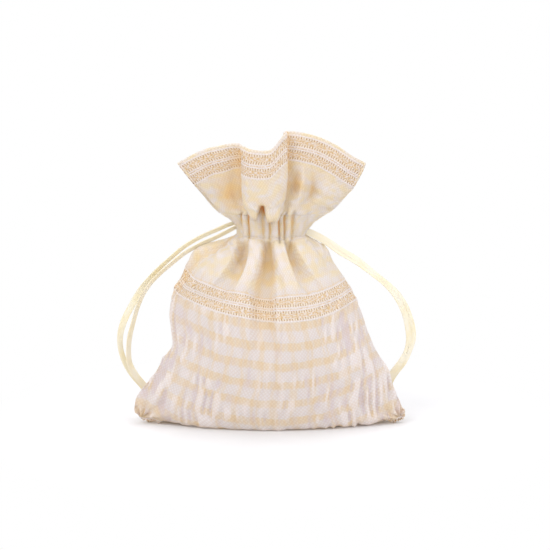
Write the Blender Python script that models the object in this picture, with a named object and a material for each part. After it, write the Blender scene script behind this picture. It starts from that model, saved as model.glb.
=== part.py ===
"""Drawstring gift pouch of light gingham cloth, cinched at the neck and filled out as if it held a gift.

+X is to the viewer's right, +Y away from the viewer and +Z up. The origin lies on the surface that the
pouch stands on, under the middle of its bottom seam.
"""

import math

import bmesh
import bpy
from mathutils import Vector

MM = 0.001

# Cloth, thread and ribbon
CLOTH = 0.8 * MM
GAP = 0.3 * MM
THREAD = 0.4 * MM
RIBBON_WIDTH = 3.0 * MM
RIBBON_THICKNESS = 0.5 * MM
SEAM_ALLOWANCE = 5.0 * MM
OVERLOCK_THICKNESS = 0.9 * MM

# Filled body, from the bottom seam to the channel
BASE_HALF_WIDTH = 59.0 * MM
BELLY_HALF_DEPTH = 27.0 * MM
BODY_HEIGHT = 85.3 * MM

# Gathered channel that holds the two ribbons
NECK_HALF_WIDTH = 15.2 * MM
NECK_HALF_DEPTH = 9.5 * MM
CHANNEL_HEIGHT = 9.6 * MM
SLOT_WIDTH = 3.2 * MM
PLEATS_A_SIDE = 9
PLEAT_DEPTH = 0.6 * MM
PASSAGE_CLEARANCE = 0.4 * MM
HEM_CLEARANCE = 0.6 * MM

# Frill above the channel
MOUTH_HALF_WIDTH = 41.8 * MM
MOUTH_HALF_DEPTH = 6.5 * MM
FRILL_HEIGHT = 31.0 * MM
FLUTE_LENGTH = 26.0 * MM
FLUTE_DEPTH = 3.0 * MM
FLUTE_CREST = -2.0 * MM

# Folds that fan out under the channel
FOLDS_A_SIDE = 4
FOLD_DEPTH = 1.1 * MM

# Each ribbon's lane in the channel, above its lower seam, and how far out of the channel it is free
LEFT_LANE = 5.9 * MM
RIGHT_LANE = 2.0 * MM
SLOT_LEAD = 2.0 * MM
STRAND_LEAD = 2.9 * MM

# Free ribbon and its knots
STRAND_SPACING = 1.4 * MM
KNOT_LENGTH = 7.5 * MM
KNOT_THICKNESS = 5.0 * MM

# Facets
PLEAT_FACETS = 6
BODY_COLUMNS = 36
BODY_ROWS = 13
FRILL_COLUMNS = 45
FRILL_ROWS = 4
ROUTE_STEP = 7.0 * MM

CHANNEL_TOP = BODY_HEIGHT + CHANNEL_HEIGHT
FRONT, BACK = -1, 1
LEFT, RIGHT = -1, 1

# Rows of the body above the surface it stands on, as shares of the body's height, base half width and
# belly half depth: height in the middle, height at the side seam, width to the left, width to the right,
# depth, and how far the section is drawn to a point at the side seams (0.5 round, 1 pointed).
BODY_SHAPE = (
    (0.000, 0.000, 0.966, 0.976, 0.600, 1.00),
    (0.035, 0.035, 0.990, 1.000, 0.680, 1.00),
    (0.153, 0.141, 0.995, 0.950, 0.790, 0.92),
    (0.294, 0.282, 0.873, 0.878, 0.920, 0.78),
    (0.446, 0.435, 0.763, 0.754, 1.000, 0.60),
    (0.575, 0.622, 0.763, 0.675, 0.985, 0.52),
    (0.705, 0.763, 0.695, 0.560, 0.880, 0.50),
    (0.834, 0.880, 0.551, 0.449, 0.678, 0.50),
    (0.940, 0.963, 0.373, 0.330, 0.469, 0.50),
)

# Height of the mouth's edge from side seam to side seam, as shares of the frill's height
MOUTH_EDGE = (0.73, 0.96, 1.03, 0.97, 1.18, 1.08, 0.73)

# Routes of the free ribbon from each slot to its knot, halfway between the two strands, in metres. They
# are moved sideways and stretched in height to start at the slot.
LEFT_ROUTE = (
    (-0.0181, 0.0000, 0.0912),
    (-0.0245, 0.0004, 0.0892),
    (-0.0330, 0.0016, 0.0835),
    (-0.0420, 0.0032, 0.0765),
    (-0.0505, 0.0048, 0.0688),
    (-0.0571, 0.0062, 0.0606),
    (-0.0620, 0.0074, 0.0520),
    (-0.0654, 0.0084, 0.0425),
    (-0.0666, 0.0090, 0.0340),
    (-0.0655, 0.0096, 0.0262),
    (-0.0622, 0.0104, 0.0185),
    (-0.0580, 0.0114, 0.0113),
    (-0.0524, 0.0128, 0.0057),
)
RIGHT_ROUTE = (
    (0.0181, 0.0000, 0.0873),
    (0.0245, 0.0004, 0.0845),
    (0.0320, 0.0014, 0.0787),
    (0.0400, 0.0028, 0.0733),
    (0.0480, 0.0042, 0.0664),
    (0.0548, 0.0056, 0.0582),
    (0.0594, 0.0068, 0.0493),
    (0.0622, 0.0078, 0.0395),
    (0.0612, 0.0088, 0.0305),
    (0.0578, 0.0100, 0.0218),
    (0.0538, 0.0114, 0.0137),
    (0.0488, 0.0129, 0.0066),
)


def blend(a, b, share):
    return a + (b - a) * share


def through(stations, at):
    """A smooth curve through evenly spaced stations, each a tuple, read at `at` from 0 to 1."""
    last = len(stations) - 1
    place = min(max(at, 0.0), 1.0) * last
    first = min(int(place), last - 1)
    t = place - first
    a, b, c, d = (stations[min(max(first + step, 0), last)] for step in (-1, 0, 1, 2))
    return tuple(
        0.5 * (2 * q + (r - p) * t + (2 * p - 5 * q + 4 * r - s) * t * t + (3 * q - p - 3 * r + s) * t**3)
        for p, q, r, s in zip(a, b, c, d)
    )


def smooth_step(share):
    share = min(max(share, 0.0), 1.0)
    return share * share * (3 - 2 * share)


def body_row(share):
    """(middle height, side height, left width, right width, depth, point) from the surface to the channel."""
    shape = [
        (
            middle * BODY_HEIGHT,
            side * BODY_HEIGHT,
            left * BASE_HALF_WIDTH,
            right * BASE_HALF_WIDTH,
            depth * BELLY_HALF_DEPTH,
            point,
        )
        for middle, side, left, right, depth, point in BODY_SHAPE
    ]
    top = BODY_HEIGHT - GAP
    shape.append((top, top, NECK_HALF_WIDTH, NECK_HALF_WIDTH, NECK_HALF_DEPTH, 0.5))
    middle, side, left, right, depth, point = through(shape, share)
    return max(middle, 0.0), max(side, 0.0), left, right, depth, max(point, 0.5)


def section(turn, left, right, depth, point, inset=0.0, clear=GAP / 2):
    """A point of a half section: turn runs from -90 degrees at the left side seam to 90 at the right."""
    width = (left if turn < 0 else right) - inset
    reach = max(math.cos(turn), 0.0) ** (2 * point)
    return width * math.sin(turn), clear + (depth - inset - clear) * reach


def pleat(turn):
    """How far the gathered cloth stands out at the channel, from -1 to 1 times the pleat's depth."""
    return math.cos(2 * PLEATS_A_SIDE * (turn + math.pi / 2)) * PLEAT_DEPTH


def fold(turn):
    """The broad folds under the channel, with a hollow at each side seam."""
    return -math.cos(2 * FOLDS_A_SIDE * (turn + math.pi / 2)) * FOLD_DEPTH


def push(turn, out):
    """A move of `out` away from the pouch's upright axis, as (sideways, depth)."""
    return out * math.sin(turn), out * max(math.cos(turn), 0.0)


def body_point(face, turn, share, inset):
    middle, side, left, right, depth, point = body_row(share)
    across, away = section(turn, left, right, depth, point, inset)
    gathered = smooth_step((share - 0.9) / 0.1)
    fanned = smooth_step((share - 0.35) / 0.5) * (1 - gathered)
    aside, out = push(turn, pleat(turn) * gathered + fold(turn) * fanned)
    height = blend(side, middle, math.cos(turn) ** 2)
    return Vector((across + aside, face * (away + out), max(height, inset)))


def seam_point(face, turn, inset):
    """A point of the panel's bottom edge, along the bottom seam."""
    left, right = body_row(0)[2:4]
    width = (left if turn < 0 else right) - 2 * inset - CLOTH
    return Vector((width * math.sin(turn), face * GAP / 2, inset))


def body_grid(face, inset):
    turns = [math.pi * (n / BODY_COLUMNS - 0.5) for n in range(BODY_COLUMNS + 1)]
    rows = [[seam_point(face, turn, inset) for turn in turns]]
    for n in range(BODY_ROWS + 1):
        rows.append([body_point(face, turn, n / BODY_ROWS, inset) for turn in turns])
    return rows


def neck_point(face, turn, inset, height, pleated, clear=GAP / 2):
    across, away = section(turn, NECK_HALF_WIDTH, NECK_HALF_WIDTH, NECK_HALF_DEPTH, 0.5, inset, clear)
    aside, out = push(turn, pleat(turn) * pleated)
    return Vector((across + aside, face * (away + out), height))


def neck_grid(face, inset, low, high, columns, pleated, clear):
    turns = [math.pi * (n / columns - 0.5) for n in range(columns + 1)]
    middle = (low + high) / 2
    return [
        [neck_point(face, turn, inset, height, pleated, clear) for turn in turns]
        for height in (low, middle, high)
    ]


def flute(x, height):
    """The waves that run up the frill, nearer the viewer at a crest, and die out at the side seams."""
    climb = (height - CHANNEL_TOP) / FRILL_HEIGHT
    out = min(abs(x) / blend(NECK_HALF_WIDTH, MOUTH_HALF_WIDTH, climb), 1.0)
    wave = -math.cos(2 * math.pi * (x - FLUTE_CREST) / FLUTE_LENGTH)
    return wave * FLUTE_DEPTH * climb * (1 - out**2)


def frill_point(face, turn, rise, inset, short):
    """rise runs from 0 at the channel to 1 at the mouth, and short lowers the mouth's edge."""
    width = blend(NECK_HALF_WIDTH, MOUTH_HALF_WIDTH, rise)
    depth = blend(NECK_HALF_DEPTH, MOUTH_HALF_DEPTH, rise)
    across, away = section(turn, width, width, depth, 0.5, inset)
    aside, out = push(turn, pleat(turn) * (1 - rise) ** 2)
    x = across + aside
    edge = through([(share,) for share in MOUTH_EDGE], 0.5 + turn / math.pi)[0]
    height = CHANNEL_TOP + GAP + rise * (edge * FRILL_HEIGHT - short)
    return Vector((x, face * (away + out) + flute(x, height), height))


def frill_grid(face, inset, short):
    turns = [math.pi * (n / FRILL_COLUMNS - 0.5) for n in range(FRILL_COLUMNS + 1)]
    return [
        [frill_point(face, turn, n / FRILL_ROWS, inset, short) for turn in turns]
        for n in range(FRILL_ROWS + 1)
    ]


def material(name, colour, roughness, metallic=0.0):
    made = bpy.data.materials.new(name)
    made.use_nodes = True
    shader = made.node_tree.nodes["Principled BSDF"]
    shader.inputs["Base Color"].default_value = (*colour, 1.0)
    shader.inputs["Roughness"].default_value = roughness
    shader.inputs["Metallic"].default_value = metallic
    return made


def place(name, data, finish, parent=None):
    """Puts the object in the scene. Its data is in world coordinates, moved to its parent's frame."""
    data.materials.append(finish)
    made = bpy.data.objects.new(name, data)
    bpy.context.scene.collection.objects.link(made)
    if parent:
        made.parent = parent
        made.matrix_parent_inverse = parent.matrix_world.inverted()
    return made


def pivot(name, at, parent=None):
    """An empty on a joint's axis."""
    made = bpy.data.objects.new(name, None)
    made.empty_display_size = 5 * MM
    made.location = at
    bpy.context.scene.collection.objects.link(made)
    if parent:
        made.parent = parent
        made.matrix_parent_inverse = parent.matrix_world.inverted()
    bpy.context.view_layer.update()
    return made


def skin(bm, grid):
    """Faces over a grid of points, and the grid's border as a loop of vertices."""
    rows = [[bm.verts.new(point) for point in row] for row in grid]
    for low, high in zip(rows, rows[1:]):
        for n in range(len(low) - 1):
            bm.faces.new((low[n], low[n + 1], high[n + 1]))
            bm.faces.new((low[n], high[n + 1], high[n]))
    right_side = [row[-1] for row in rows[1:]]
    left_side = [row[0] for row in rows[-2:0:-1]]
    return rows[0] + right_side + rows[-1][-2::-1] + left_side


def cloth(name, outer, inner, finish, parent=None):
    """A closed sheet between an outer and an inner grid of the same size."""
    bm = bmesh.new()
    outer_border = skin(bm, outer)
    inner_border = skin(bm, inner)
    for n, corner in enumerate(outer_border):
        bm.faces.new((outer_border[n - 1], corner, inner_border[n], inner_border[n - 1]))
    bmesh.ops.recalc_face_normals(bm, faces=bm.faces)
    mesh = bpy.data.meshes.new(name)
    bm.to_mesh(mesh)
    bm.free()
    mesh.shade_smooth()
    mesh.set_sharp_from_angle(angle=math.radians(50))
    return place(name, mesh, finish, parent)


def line(name, points, finish, parent=None, width=0.0, thickness=THREAD, sides=0):
    """A round thread along the points, or a flat ribbon where a width is given."""
    curve = bpy.data.curves.new(name, "CURVE")
    curve.dimensions = "3D"
    curve.extrude = max(width - thickness, 0.0) / 2
    curve.bevel_depth = thickness / 2
    curve.bevel_resolution = sides
    curve.use_fill_caps = True
    spline = curve.splines.new("POLY")
    spline.points.add(len(points) - 1)
    for spot, point in zip(spline.points, points):
        spot.co = (*point, 1.0)
    spline.use_smooth = True
    return place(name, curve, finish, parent)


def ribbon(name, points, finish, parent=None):
    return line(name, points, finish, parent, RIBBON_WIDTH, RIBBON_THICKNESS, 2)


def side_name(face):
    return "front" if face == FRONT else "back"


def make_panels(finish):
    for face in (FRONT, BACK):
        name = side_name(face) + "_panel"
        cloth(name, body_grid(face, 0.0), body_grid(face, CLOTH), finish)


def make_channel(finish):
    """The gathered outer wall and the smooth inner wall, open at both sides where the ribbons come out."""
    inner_wall = PLEAT_DEPTH + CLOTH + GAP + RIBBON_THICKNESS + PASSAGE_CLEARANCE
    for face in (FRONT, BACK):
        columns = PLEATS_A_SIDE * PLEAT_FACETS
        walls = [
            neck_grid(face, inset, BODY_HEIGHT, CHANNEL_TOP, columns, 1, SLOT_WIDTH / 2)
            for inset in (0.0, CLOTH)
        ]
        cloth(side_name(face) + "_casing", *walls, finish)
        walls = [
            neck_grid(face, inset, BODY_HEIGHT, CHANNEL_TOP, PLEATS_A_SIDE * 2, 0, GAP / 2)
            for inset in (inner_wall, inner_wall + CLOTH)
        ]
        cloth(side_name(face) + "_channel_lining", *walls, finish)


def make_frill(finish, pivots):
    for face in (FRONT, BACK):
        leaf = [frill_grid(face, inset, 0.0) for inset in (0.0, CLOTH)]
        cloth(side_name(face) + "_frill", *leaf, finish, pivots[face])
        behind = CLOTH + HEM_CLEARANCE
        lining = [frill_grid(face, inset, GAP) for inset in (behind, behind + CLOTH)]
        cloth(side_name(face) + "_frill_lining", *lining, finish, pivots[face])


def strip(name, low, high, finish):
    """A flat strip in the plane of the side seams between two edges, each a list of (x, z)."""
    half = OVERLOCK_THICKNESS / 2
    grids = [[[Vector((x, y, z)) for x, z in edge] for edge in (low, high)] for y in (-half, half)]
    cloth(name, *grids, finish)


def seam_reach(share, side):
    """How far from the middle, inside the pouch, an overlocked edge fits between the panels."""
    left, right, depth, point = body_row(share)[2:6]
    narrow = (OVERLOCK_THICKNESS / 2 + GAP) / (depth - CLOTH)
    turn = side * math.acos(narrow ** (1 / (2 * point)))
    return abs(section(turn, left, right, depth, point, CLOTH)[0])


def make_seams(finish):
    """The seam allowances, turned in and overlocked: one up each side and one along the bottom."""
    first_row, last_row, steps = 3, BODY_ROWS - 2, 10
    for side, name in ((LEFT, "left"), (RIGHT, "right")):
        outer, inner = [], []
        for row in range(first_row, last_row + 1):
            share = row / BODY_ROWS
            reach = seam_reach(share, side) - GAP - FOLD_DEPTH * smooth_step((share - 0.35) / 0.5)
            height = body_row(share)[1]
            outer.append((side * reach, height))
            inner.append((side * (reach - SEAM_ALLOWANCE), height))
        strip(name + "_overlocked_seam", outer, inner, finish)
    low = CLOTH + GAP
    ends = [seam_reach(0, side) - SEAM_ALLOWANCE for side in (LEFT, RIGHT)]
    along = [blend(-ends[0], ends[1], n / steps) for n in range(steps + 1)]
    edges = [[(x, z) for x in along] for z in (low, low + SEAM_ALLOWANCE)]
    strip("bottom_overlocked_seam", *edges, finish)


def make_stitching(finish):
    """A row of thread round the front and the back, under the channel and over it."""
    columns = PLEATS_A_SIDE * PLEAT_FACETS
    out = THREAD / 2 + GAP
    rows = (("lower", BODY_HEIGHT + THREAD), ("upper", CHANNEL_TOP - THREAD))
    for face in (FRONT, BACK):
        for name, height in rows:
            turns = [math.pi * (n / columns - 0.5) for n in range(2, columns - 1)]
            points = [neck_point(face, turn, -out, height, 1, SLOT_WIDTH / 2) for turn in turns]
            line(f"{side_name(face)}_{name}_stitching", points, finish)


def channel_run(side, height):
    """A ribbon's way round the channel, from its own slot round the far side and back to the slot."""
    inset = PLEAT_DEPTH + CLOTH + GAP + RIBBON_THICKNESS / 2
    width, depth = NECK_HALF_WIDTH - inset, NECK_HALF_DEPTH - inset
    exit_x = -NECK_HALF_WIDTH - SLOT_LEAD
    half = STRAND_SPACING / 2
    lead = [(exit_x, -half), (exit_x + 1.8 * MM, -half), (exit_x + 3.3 * MM, -half - 0.6 * MM)]
    steps = 18
    first = math.radians(20)
    ring = []
    for n in range(steps + 1):
        turn = blend(first, 2 * math.pi - first, n / steps)
        ring.append((-width * math.cos(turn), -depth * math.sin(turn)))
    back = [(x, -y) for x, y in reversed(lead)]
    plan = lead + ring + back
    return [Vector((-side * x, y, height)) for x, y in plan]


def fitted(route, start):
    """The route from a start that may have moved, with its end still down by the surface."""
    aside = start.x - route[0][0]
    low = route[-1][2]
    stretch = (start.z - low) / (route[0][2] - low)
    return [(x + aside, y, low + (z - low) * stretch) for x, y, z in route]


def route_points(route, shift):
    """Points a ribbon follows, evenly spread over a smooth curve through its route."""
    length = sum((Vector(b) - Vector(a)).length for a, b in zip(route, route[1:]))
    steps = round(length / ROUTE_STEP)
    spread = [Vector(through(route, n / steps)) for n in range(steps + 1)]
    return [point + Vector((0, shift, 0)) for point in spread]


def make_knot(name, at, toward, finish, parent):
    """A pulled-tight overhand knot: a lump with wraps round it, longer along the ribbon, on the surface."""
    bm = bmesh.new()
    bmesh.ops.create_uvsphere(bm, u_segments=16, v_segments=10, radius=1.0)
    for vert in bm.verts:
        x, y, z = vert.co
        wrap = 1 + 0.10 * math.cos(3 * math.atan2(z, y) + 4 * x)
        vert.co = Vector((x * KNOT_LENGTH / 2, y * wrap * KNOT_THICKNESS / 2, z * wrap * KNOT_THICKNESS / 2.4))
    turn = Vector((1, 0, 0)).rotation_difference(toward)
    bmesh.ops.rotate(bm, verts=bm.verts, cent=(0, 0, 0), matrix=turn.to_matrix())
    lowest = min(vert.co.z for vert in bm.verts)
    bmesh.ops.translate(bm, verts=bm.verts, vec=Vector((at.x, at.y, -lowest)))
    mesh = bpy.data.meshes.new(name)
    bm.to_mesh(mesh)
    bm.free()
    mesh.shade_smooth()
    return place(name, mesh, finish, parent)


def make_drawstring(name, side, lane, route, finish):
    """One ribbon: its run in the channel, its two free strands and the knot in their ends."""
    height = BODY_HEIGHT + lane
    route = fitted(route, Vector((side * (NECK_HALF_WIDTH + STRAND_LEAD), 0, height)))
    slot = Vector((side * (NECK_HALF_WIDTH + (SLOT_LEAD + STRAND_LEAD) / 2), 0, height))
    pulled = pivot(name + "_pull", slot)
    swung = pivot(name + "_lift", slot, pulled)
    ribbon(name + "_channel_run", channel_run(side, height), finish, pulled)
    half = STRAND_SPACING / 2
    for face in (FRONT, BACK):
        points = route_points(route, face * half)
        ribbon(f"{name}_{side_name(face)}_strand", points, finish, swung)
    end = Vector(route[-1])
    toward = (end - Vector(route[-2])).normalized()
    make_knot(name + "_knot", end + toward * (KNOT_LENGTH / 2 + GAP), toward, finish, swung)


def main():
    for old in list(bpy.data.objects):
        bpy.data.objects.remove(old)
    gingham = material("gingham_cloth", (0.86, 0.76, 0.62), 0.85)
    hem = material("hem_cloth", (0.87, 0.80, 0.70), 0.85)
    overlock = material("overlock_thread", (0.90, 0.87, 0.80), 0.8)
    thread = material("sewing_thread", (0.88, 0.83, 0.72), 0.6)
    satin = material("satin_ribbon", (0.86, 0.82, 0.62), 0.4)
    root_out = NECK_HALF_DEPTH + PLEAT_DEPTH
    leaves = {
        face: pivot(side_name(face) + "_frill_fold", Vector((0, face * root_out, CHANNEL_TOP + GAP)))
        for face in (FRONT, BACK)
    }
    make_panels(gingham)
    make_channel(hem)
    make_frill(gingham, leaves)
    make_seams(overlock)
    make_stitching(thread)
    make_drawstring("left_ribbon", LEFT, LEFT_LANE, LEFT_ROUTE, satin)
    make_drawstring("right_ribbon", RIGHT, RIGHT_LANE, RIGHT_ROUTE, satin)


main()
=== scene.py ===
import math

import bpy
import numpy as np
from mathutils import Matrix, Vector


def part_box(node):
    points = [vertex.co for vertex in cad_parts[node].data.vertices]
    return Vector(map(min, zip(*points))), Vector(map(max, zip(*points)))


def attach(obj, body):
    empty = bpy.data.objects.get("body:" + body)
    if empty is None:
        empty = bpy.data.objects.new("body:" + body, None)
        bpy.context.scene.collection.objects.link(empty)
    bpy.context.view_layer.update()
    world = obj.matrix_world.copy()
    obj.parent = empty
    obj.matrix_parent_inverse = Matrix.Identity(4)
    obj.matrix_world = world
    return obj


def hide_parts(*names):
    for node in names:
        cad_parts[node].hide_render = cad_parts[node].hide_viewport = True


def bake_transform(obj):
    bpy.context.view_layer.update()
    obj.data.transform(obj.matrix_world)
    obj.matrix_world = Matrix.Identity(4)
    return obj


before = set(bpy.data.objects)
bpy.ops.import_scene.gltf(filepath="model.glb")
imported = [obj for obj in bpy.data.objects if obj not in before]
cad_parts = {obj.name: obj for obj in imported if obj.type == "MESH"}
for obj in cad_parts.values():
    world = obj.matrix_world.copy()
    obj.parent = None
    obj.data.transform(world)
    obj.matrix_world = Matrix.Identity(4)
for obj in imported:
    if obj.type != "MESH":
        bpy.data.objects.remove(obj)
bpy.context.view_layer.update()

# Sizes are in millimetres until a mesh is made. +X is to the right, +Y away from the viewer, +Z up.
MM = 0.001

# Camera: the middle of the picture, how wide the picture is there, and how high the camera looks from
VIEW_MIDDLE = (1.6, 0.0, 67.2)
VIEW_WIDTH = 244.4
VIEW_ELEVATION = 9.5
VIEW_DISTANCE = 1000.0
SENSOR = 36.0

# One cloth panel, between its side seams and from the bottom seam to the stitches under the channel
PANEL_WIDTH = 118.0
PANEL_LENGTH = 108.0
CHANNEL_LENGTH = 9.6
FRILL_LENGTH = 36.0
MOUTH_FOLD = 1.3
SEAM_ALLOWANCE = 5.0

# Heights of the two rows of stitches, and the gathered neck between them. The gathers start below them
LOWER_STITCH = 85.3
UPPER_STITCH = 94.9
GATHER_START = 82.6
PUFF_HEIGHT = 83.2
NECK_HALF_WIDTH = 15.3
NECK_HALF_DEPTH = 9.6

# Grid of each cloth piece
COLUMNS = 520
BODY_ROWS = 230
CHANNEL_ROWS = 34
LINING_ROWS = 16
FRILL_ROWS = 84
FOLD_ROWS = 6
HEM_ROWS = 40

# Woven pattern, in lengths of cloth down from the lower stitches and across from the left side seam
BAND_REPEAT = 74.3
BAND_START = 29.5
BAND_WIDTH = 11.7
BAND_CORDS = ((0.0, 0.75), (5.0, 5.7), (6.05, 6.75), (BAND_WIDTH - 0.75, BAND_WIDTH))
TICK_PITCH = 1.46
CHECK_ROW = 8.83
CHECK_ROW_CREAM = 3.7
CHECK_COLUMN = 8.4
CHECK_COLUMN_CREAM = (1.2, 4.4)
THREAD_PERIOD = 0.5
TWILL_PERIOD = 1.85
COUNTER_TWILL_PERIOD = 1.75
# How much of the light passes through, and how high the yarns stand, in metres
CLOTH_THINNESS = 0.34
RIBBON_THINNESS = 0.25
CLOTH_RELIEF = 0.00022
RIBBON_RELIEF = 0.00003
# How far below the mouth the thick cords of the frill's band stand out
FRILL_CORDS = (1.7, 7.4, 13.0)
# The crease value of smooth cloth, halfway between the crests and the dips of the crinkles
PLAIN_CREASE = 0.45

FRONT, BACK = -1, 1
LEFT, RIGHT = -1, 1
FACE_WORD = {FRONT: "front", BACK: "back"}
SIDE_WORD = {LEFT: "left", RIGHT: "right"}
UP = np.array([0.0, 0.0, 1.0])
# How far from the middle each bottom corner lies
CORNERS = {LEFT: 58.0, RIGHT: 57.5}

# The filled body by length of cloth up from the bottom seam: height in the middle, height at the side seam,
# half width to the left and to the right, half depth, how pointed the section is (0.5 round, 1 pointed) and
# how far round to the front the left and the right side seam lie, in degrees
BODY = (
    (0.0, 0.8, 0.8, 55.6, 56.8, 0.2, 1.00, 0, 0),
    (8.0, 0.2, 1.2, 57.0, 58.2, 8.4, 1.05, 0, 0),
    (15.0, 0.0, 2.4, 59.0, 59.6, 14.6, 1.05, 0, 0),
    (19.0, 1.2, 4.6, 60.8, 60.0, 17.4, 1.02, 0, 0),
    (26.0, 7.5, 9.6, 61.2, 57.4, 20.0, 1.00, 0, 0),
    (36.0, 17.0, 16.5, 57.2, 54.6, 22.5, 0.93, 0, -2),
    (43.0, 24.0, 23.0, 52.0, 52.8, 24.4, 0.86, 0, -3),
    (50.0, 31.0, 29.0, 48.8, 49.4, 26.2, 0.78, 0, -4),
    (57.0, 38.0, 35.5, 44.4, 45.6, 27.0, 0.68, 0, -5),
    (63.0, 44.0, 41.5, 44.6, 43.2, 27.0, 0.70, 0, -6),
    (69.0, 50.0, 49.0, 45.6, 40.7, 26.5, 0.70, 2, -6),
    (76.0, 57.0, 57.5, 44.2, 37.2, 25.0, 0.68, 8, -6),
    (83.0, 63.0, 65.5, 41.0, 32.8, 22.6, 0.64, 19, -5),
    (90.0, 69.5, 73.0, 37.4, 27.6, 19.6, 0.58, 24, -4),
    (97.0, 76.0, 79.6, 32.8, 24.4, 15.6, 0.50, 30, -2),
    (103.5, 81.5, 83.0, 22.4, 19.0, 11.8, 0.50, 30, 0),
    (108.0, 85.3, 85.3, 15.3, 15.3, 9.6, 0.50, 0, 0),
)

# How far the channel's ends flare sideways with height, to the left and to the right
END_FLARE = (
    (85.3, 0.0, 0.0),
    (87.0, 0.2, 0.6),
    (89.5, 0.6, 2.4),
    (92.0, 3.0, 5.2),
    (94.9, 7.2, 9.9),
)

# The front of the frill, level by level from just above the upper stitches to the mouth's edge. Each column
# stands at the same share of the way from the left side seam to the right one, and gives x, y and height.
FRONT_SHARES = (
    0.0, 0.06, 0.12, 0.18, 0.215, 0.235, 0.26, 0.30, 0.355, 0.405, 0.455,
    0.50, 0.54, 0.565, 0.59, 0.615, 0.66, 0.70, 0.755, 0.83, 0.92, 1.0,
)
FRONT_LEVELS = (
    (0.07, (
        (-23.5, 0.0, 96.1), (-22.2, -1.9, 96.0), (-19.4, -3.9, 96.0), (-15.7, -6.0, 96.0),
        (-13.0, -7.0, 96.4), (-11.8, -7.2, 96.6), (-10.7, -8.4, 96.5), (-9.2, -10.4, 96.2),
        (-7.0, -11.4, 96.0), (-4.3, -11.8, 96.0), (-1.4, -12.0, 95.8), (1.4, -11.8, 95.8),
        (3.6, -10.8, 96.0), (4.6, -9.8, 96.2), (5.2, -8.8, 96.4), (6.2, -8.8, 96.5),
        (8.2, -9.0, 96.6), (10.2, -8.6, 96.6), (12.6, -7.2, 96.4), (17.4, -5.0, 96.0),
        (23.4, -2.4, 96.0), (26.9, 0.0, 96.0),
    )),
    (0.15, (
        (-25.2, 0.0, 98.1), (-23.3, -1.5, 97.6), (-20.0, -2.8, 97.6), (-16.3, -3.8, 98.0),
        (-13.6, -3.8, 99.0), (-11.2, -4.8, 99.2), (-11.9, -8.0, 98.6), (-10.6, -11.2, 98.2),
        (-7.4, -12.6, 98.0), (-4.3, -13.0, 97.8), (-1.0, -13.2, 97.6), (2.0, -12.8, 97.6),
        (4.4, -11.4, 98.2), (5.5, -9.4, 99.0), (5.4, -7.6, 99.4), (6.5, -7.2, 99.6),
        (9.0, -8.2, 99.8), (11.4, -8.2, 99.8), (13.9, -5.6, 99.0), (19.0, -4.6, 98.2),
        (25.0, -2.4, 97.7), (29.0, 0.0, 97.9),
    )),
    (0.35, (
        (-29.2, 0.0, 102.6), (-26.2, -0.8, 102.0), (-22.3, -0.9, 102.0), (-18.0, -1.6, 103.0),
        (-14.8, -1.6, 104.4), (-11.8, -2.6, 105.0), (-12.8, -7.0, 104.4), (-11.6, -11.4, 102.8),
        (-7.7, -13.4, 101.6), (-4.2, -14.0, 101.2), (-0.6, -14.0, 101.2), (2.8, -13.2, 101.8),
        (5.3, -11.2, 103.0), (6.5, -8.4, 104.2), (5.2, -5.8, 105.0), (6.4, -4.2, 106.2),
        (10.0, -3.6, 107.0), (13.2, -7.2, 107.0), (17.0, -1.0, 104.8), (22.4, -4.2, 103.4),
        (28.4, -2.2, 102.2), (33.2, 0.0, 102.8),
    )),
    (0.63, (
        (-34.5, 0.0, 108.3), (-30.4, -0.9, 109.0), (-25.8, -1.0, 110.6), (-20.0, -2.0, 113.6),
        (-15.8, -2.2, 115.8), (-12.4, -3.4, 116.4), (-13.3, -7.4, 115.0), (-11.6, -11.4, 112.6),
        (-7.4, -13.6, 111.4), (-4.0, -14.2, 111.2), (-0.4, -14.0, 111.2), (3.0, -13.0, 111.6),
        (5.7, -11.4, 112.2), (7.0, -8.6, 113.2), (5.6, -5.6, 114.6), (6.6, -3.2, 116.2),
        (10.6, -3.6, 116.8), (14.0, -4.4, 116.2), (18.4, -2.6, 114.6), (24.8, -3.4, 111.4),
        (31.6, -2.2, 107.6), (36.3, 0.0, 106.0),
    )),
    (1.0, (
        (-41.4, 0.0, 116.9), (-35.6, -2.6, 120.2), (-29.4, -4.6, 123.2), (-22.0, -6.2, 125.0),
        (-17.4, -7.4, 126.0), (-14.8, -8.4, 126.1), (-12.6, -10.0, 125.5), (-9.8, -12.0, 124.4),
        (-6.4, -13.6, 123.9), (-3.2, -14.0, 123.8), (0.2, -13.4, 124.4), (3.4, -12.0, 127.8),
        (5.6, -10.2, 130.2), (7.0, -8.0, 131.0), (6.2, -5.6, 131.2), (7.0, -3.6, 131.2),
        (11.4, -3.0, 130.9), (15.2, -3.2, 130.2), (20.6, -4.4, 128.8), (28.4, -4.8, 125.2),
        (35.8, -2.8, 120.2), (41.6, 0.0, 116.8),
    )),
)
# Rounded lips where the tongue swells over the channel, by share: middle, half width, out, down
FRONT_LIPS = ((0.345, 0.052, 1.4, 0.0), (0.470, 0.058, 2.3, 1.6))
# The hollow between the lips, which narrows upwards: middle share, half width, height, depth
FRONT_HOLLOW = (0.407, 0.056, 0.36, 4.4)
# Where light is lost in the front of the frill, by share: middle, half width, rise, half height, depth.
# They lie left of the tongue, over the hollow, and in the right wing's fold
FRONT_SHADES = (
    (0.175, 0.125, 0.36, 0.46, 0.66),
    (0.407, 0.075, 0.30, 0.20, 0.42),
    (0.675, 0.065, 0.40, 0.28, 0.58),
    (0.800, 0.060, 0.20, 0.16, 0.30),
)
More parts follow.
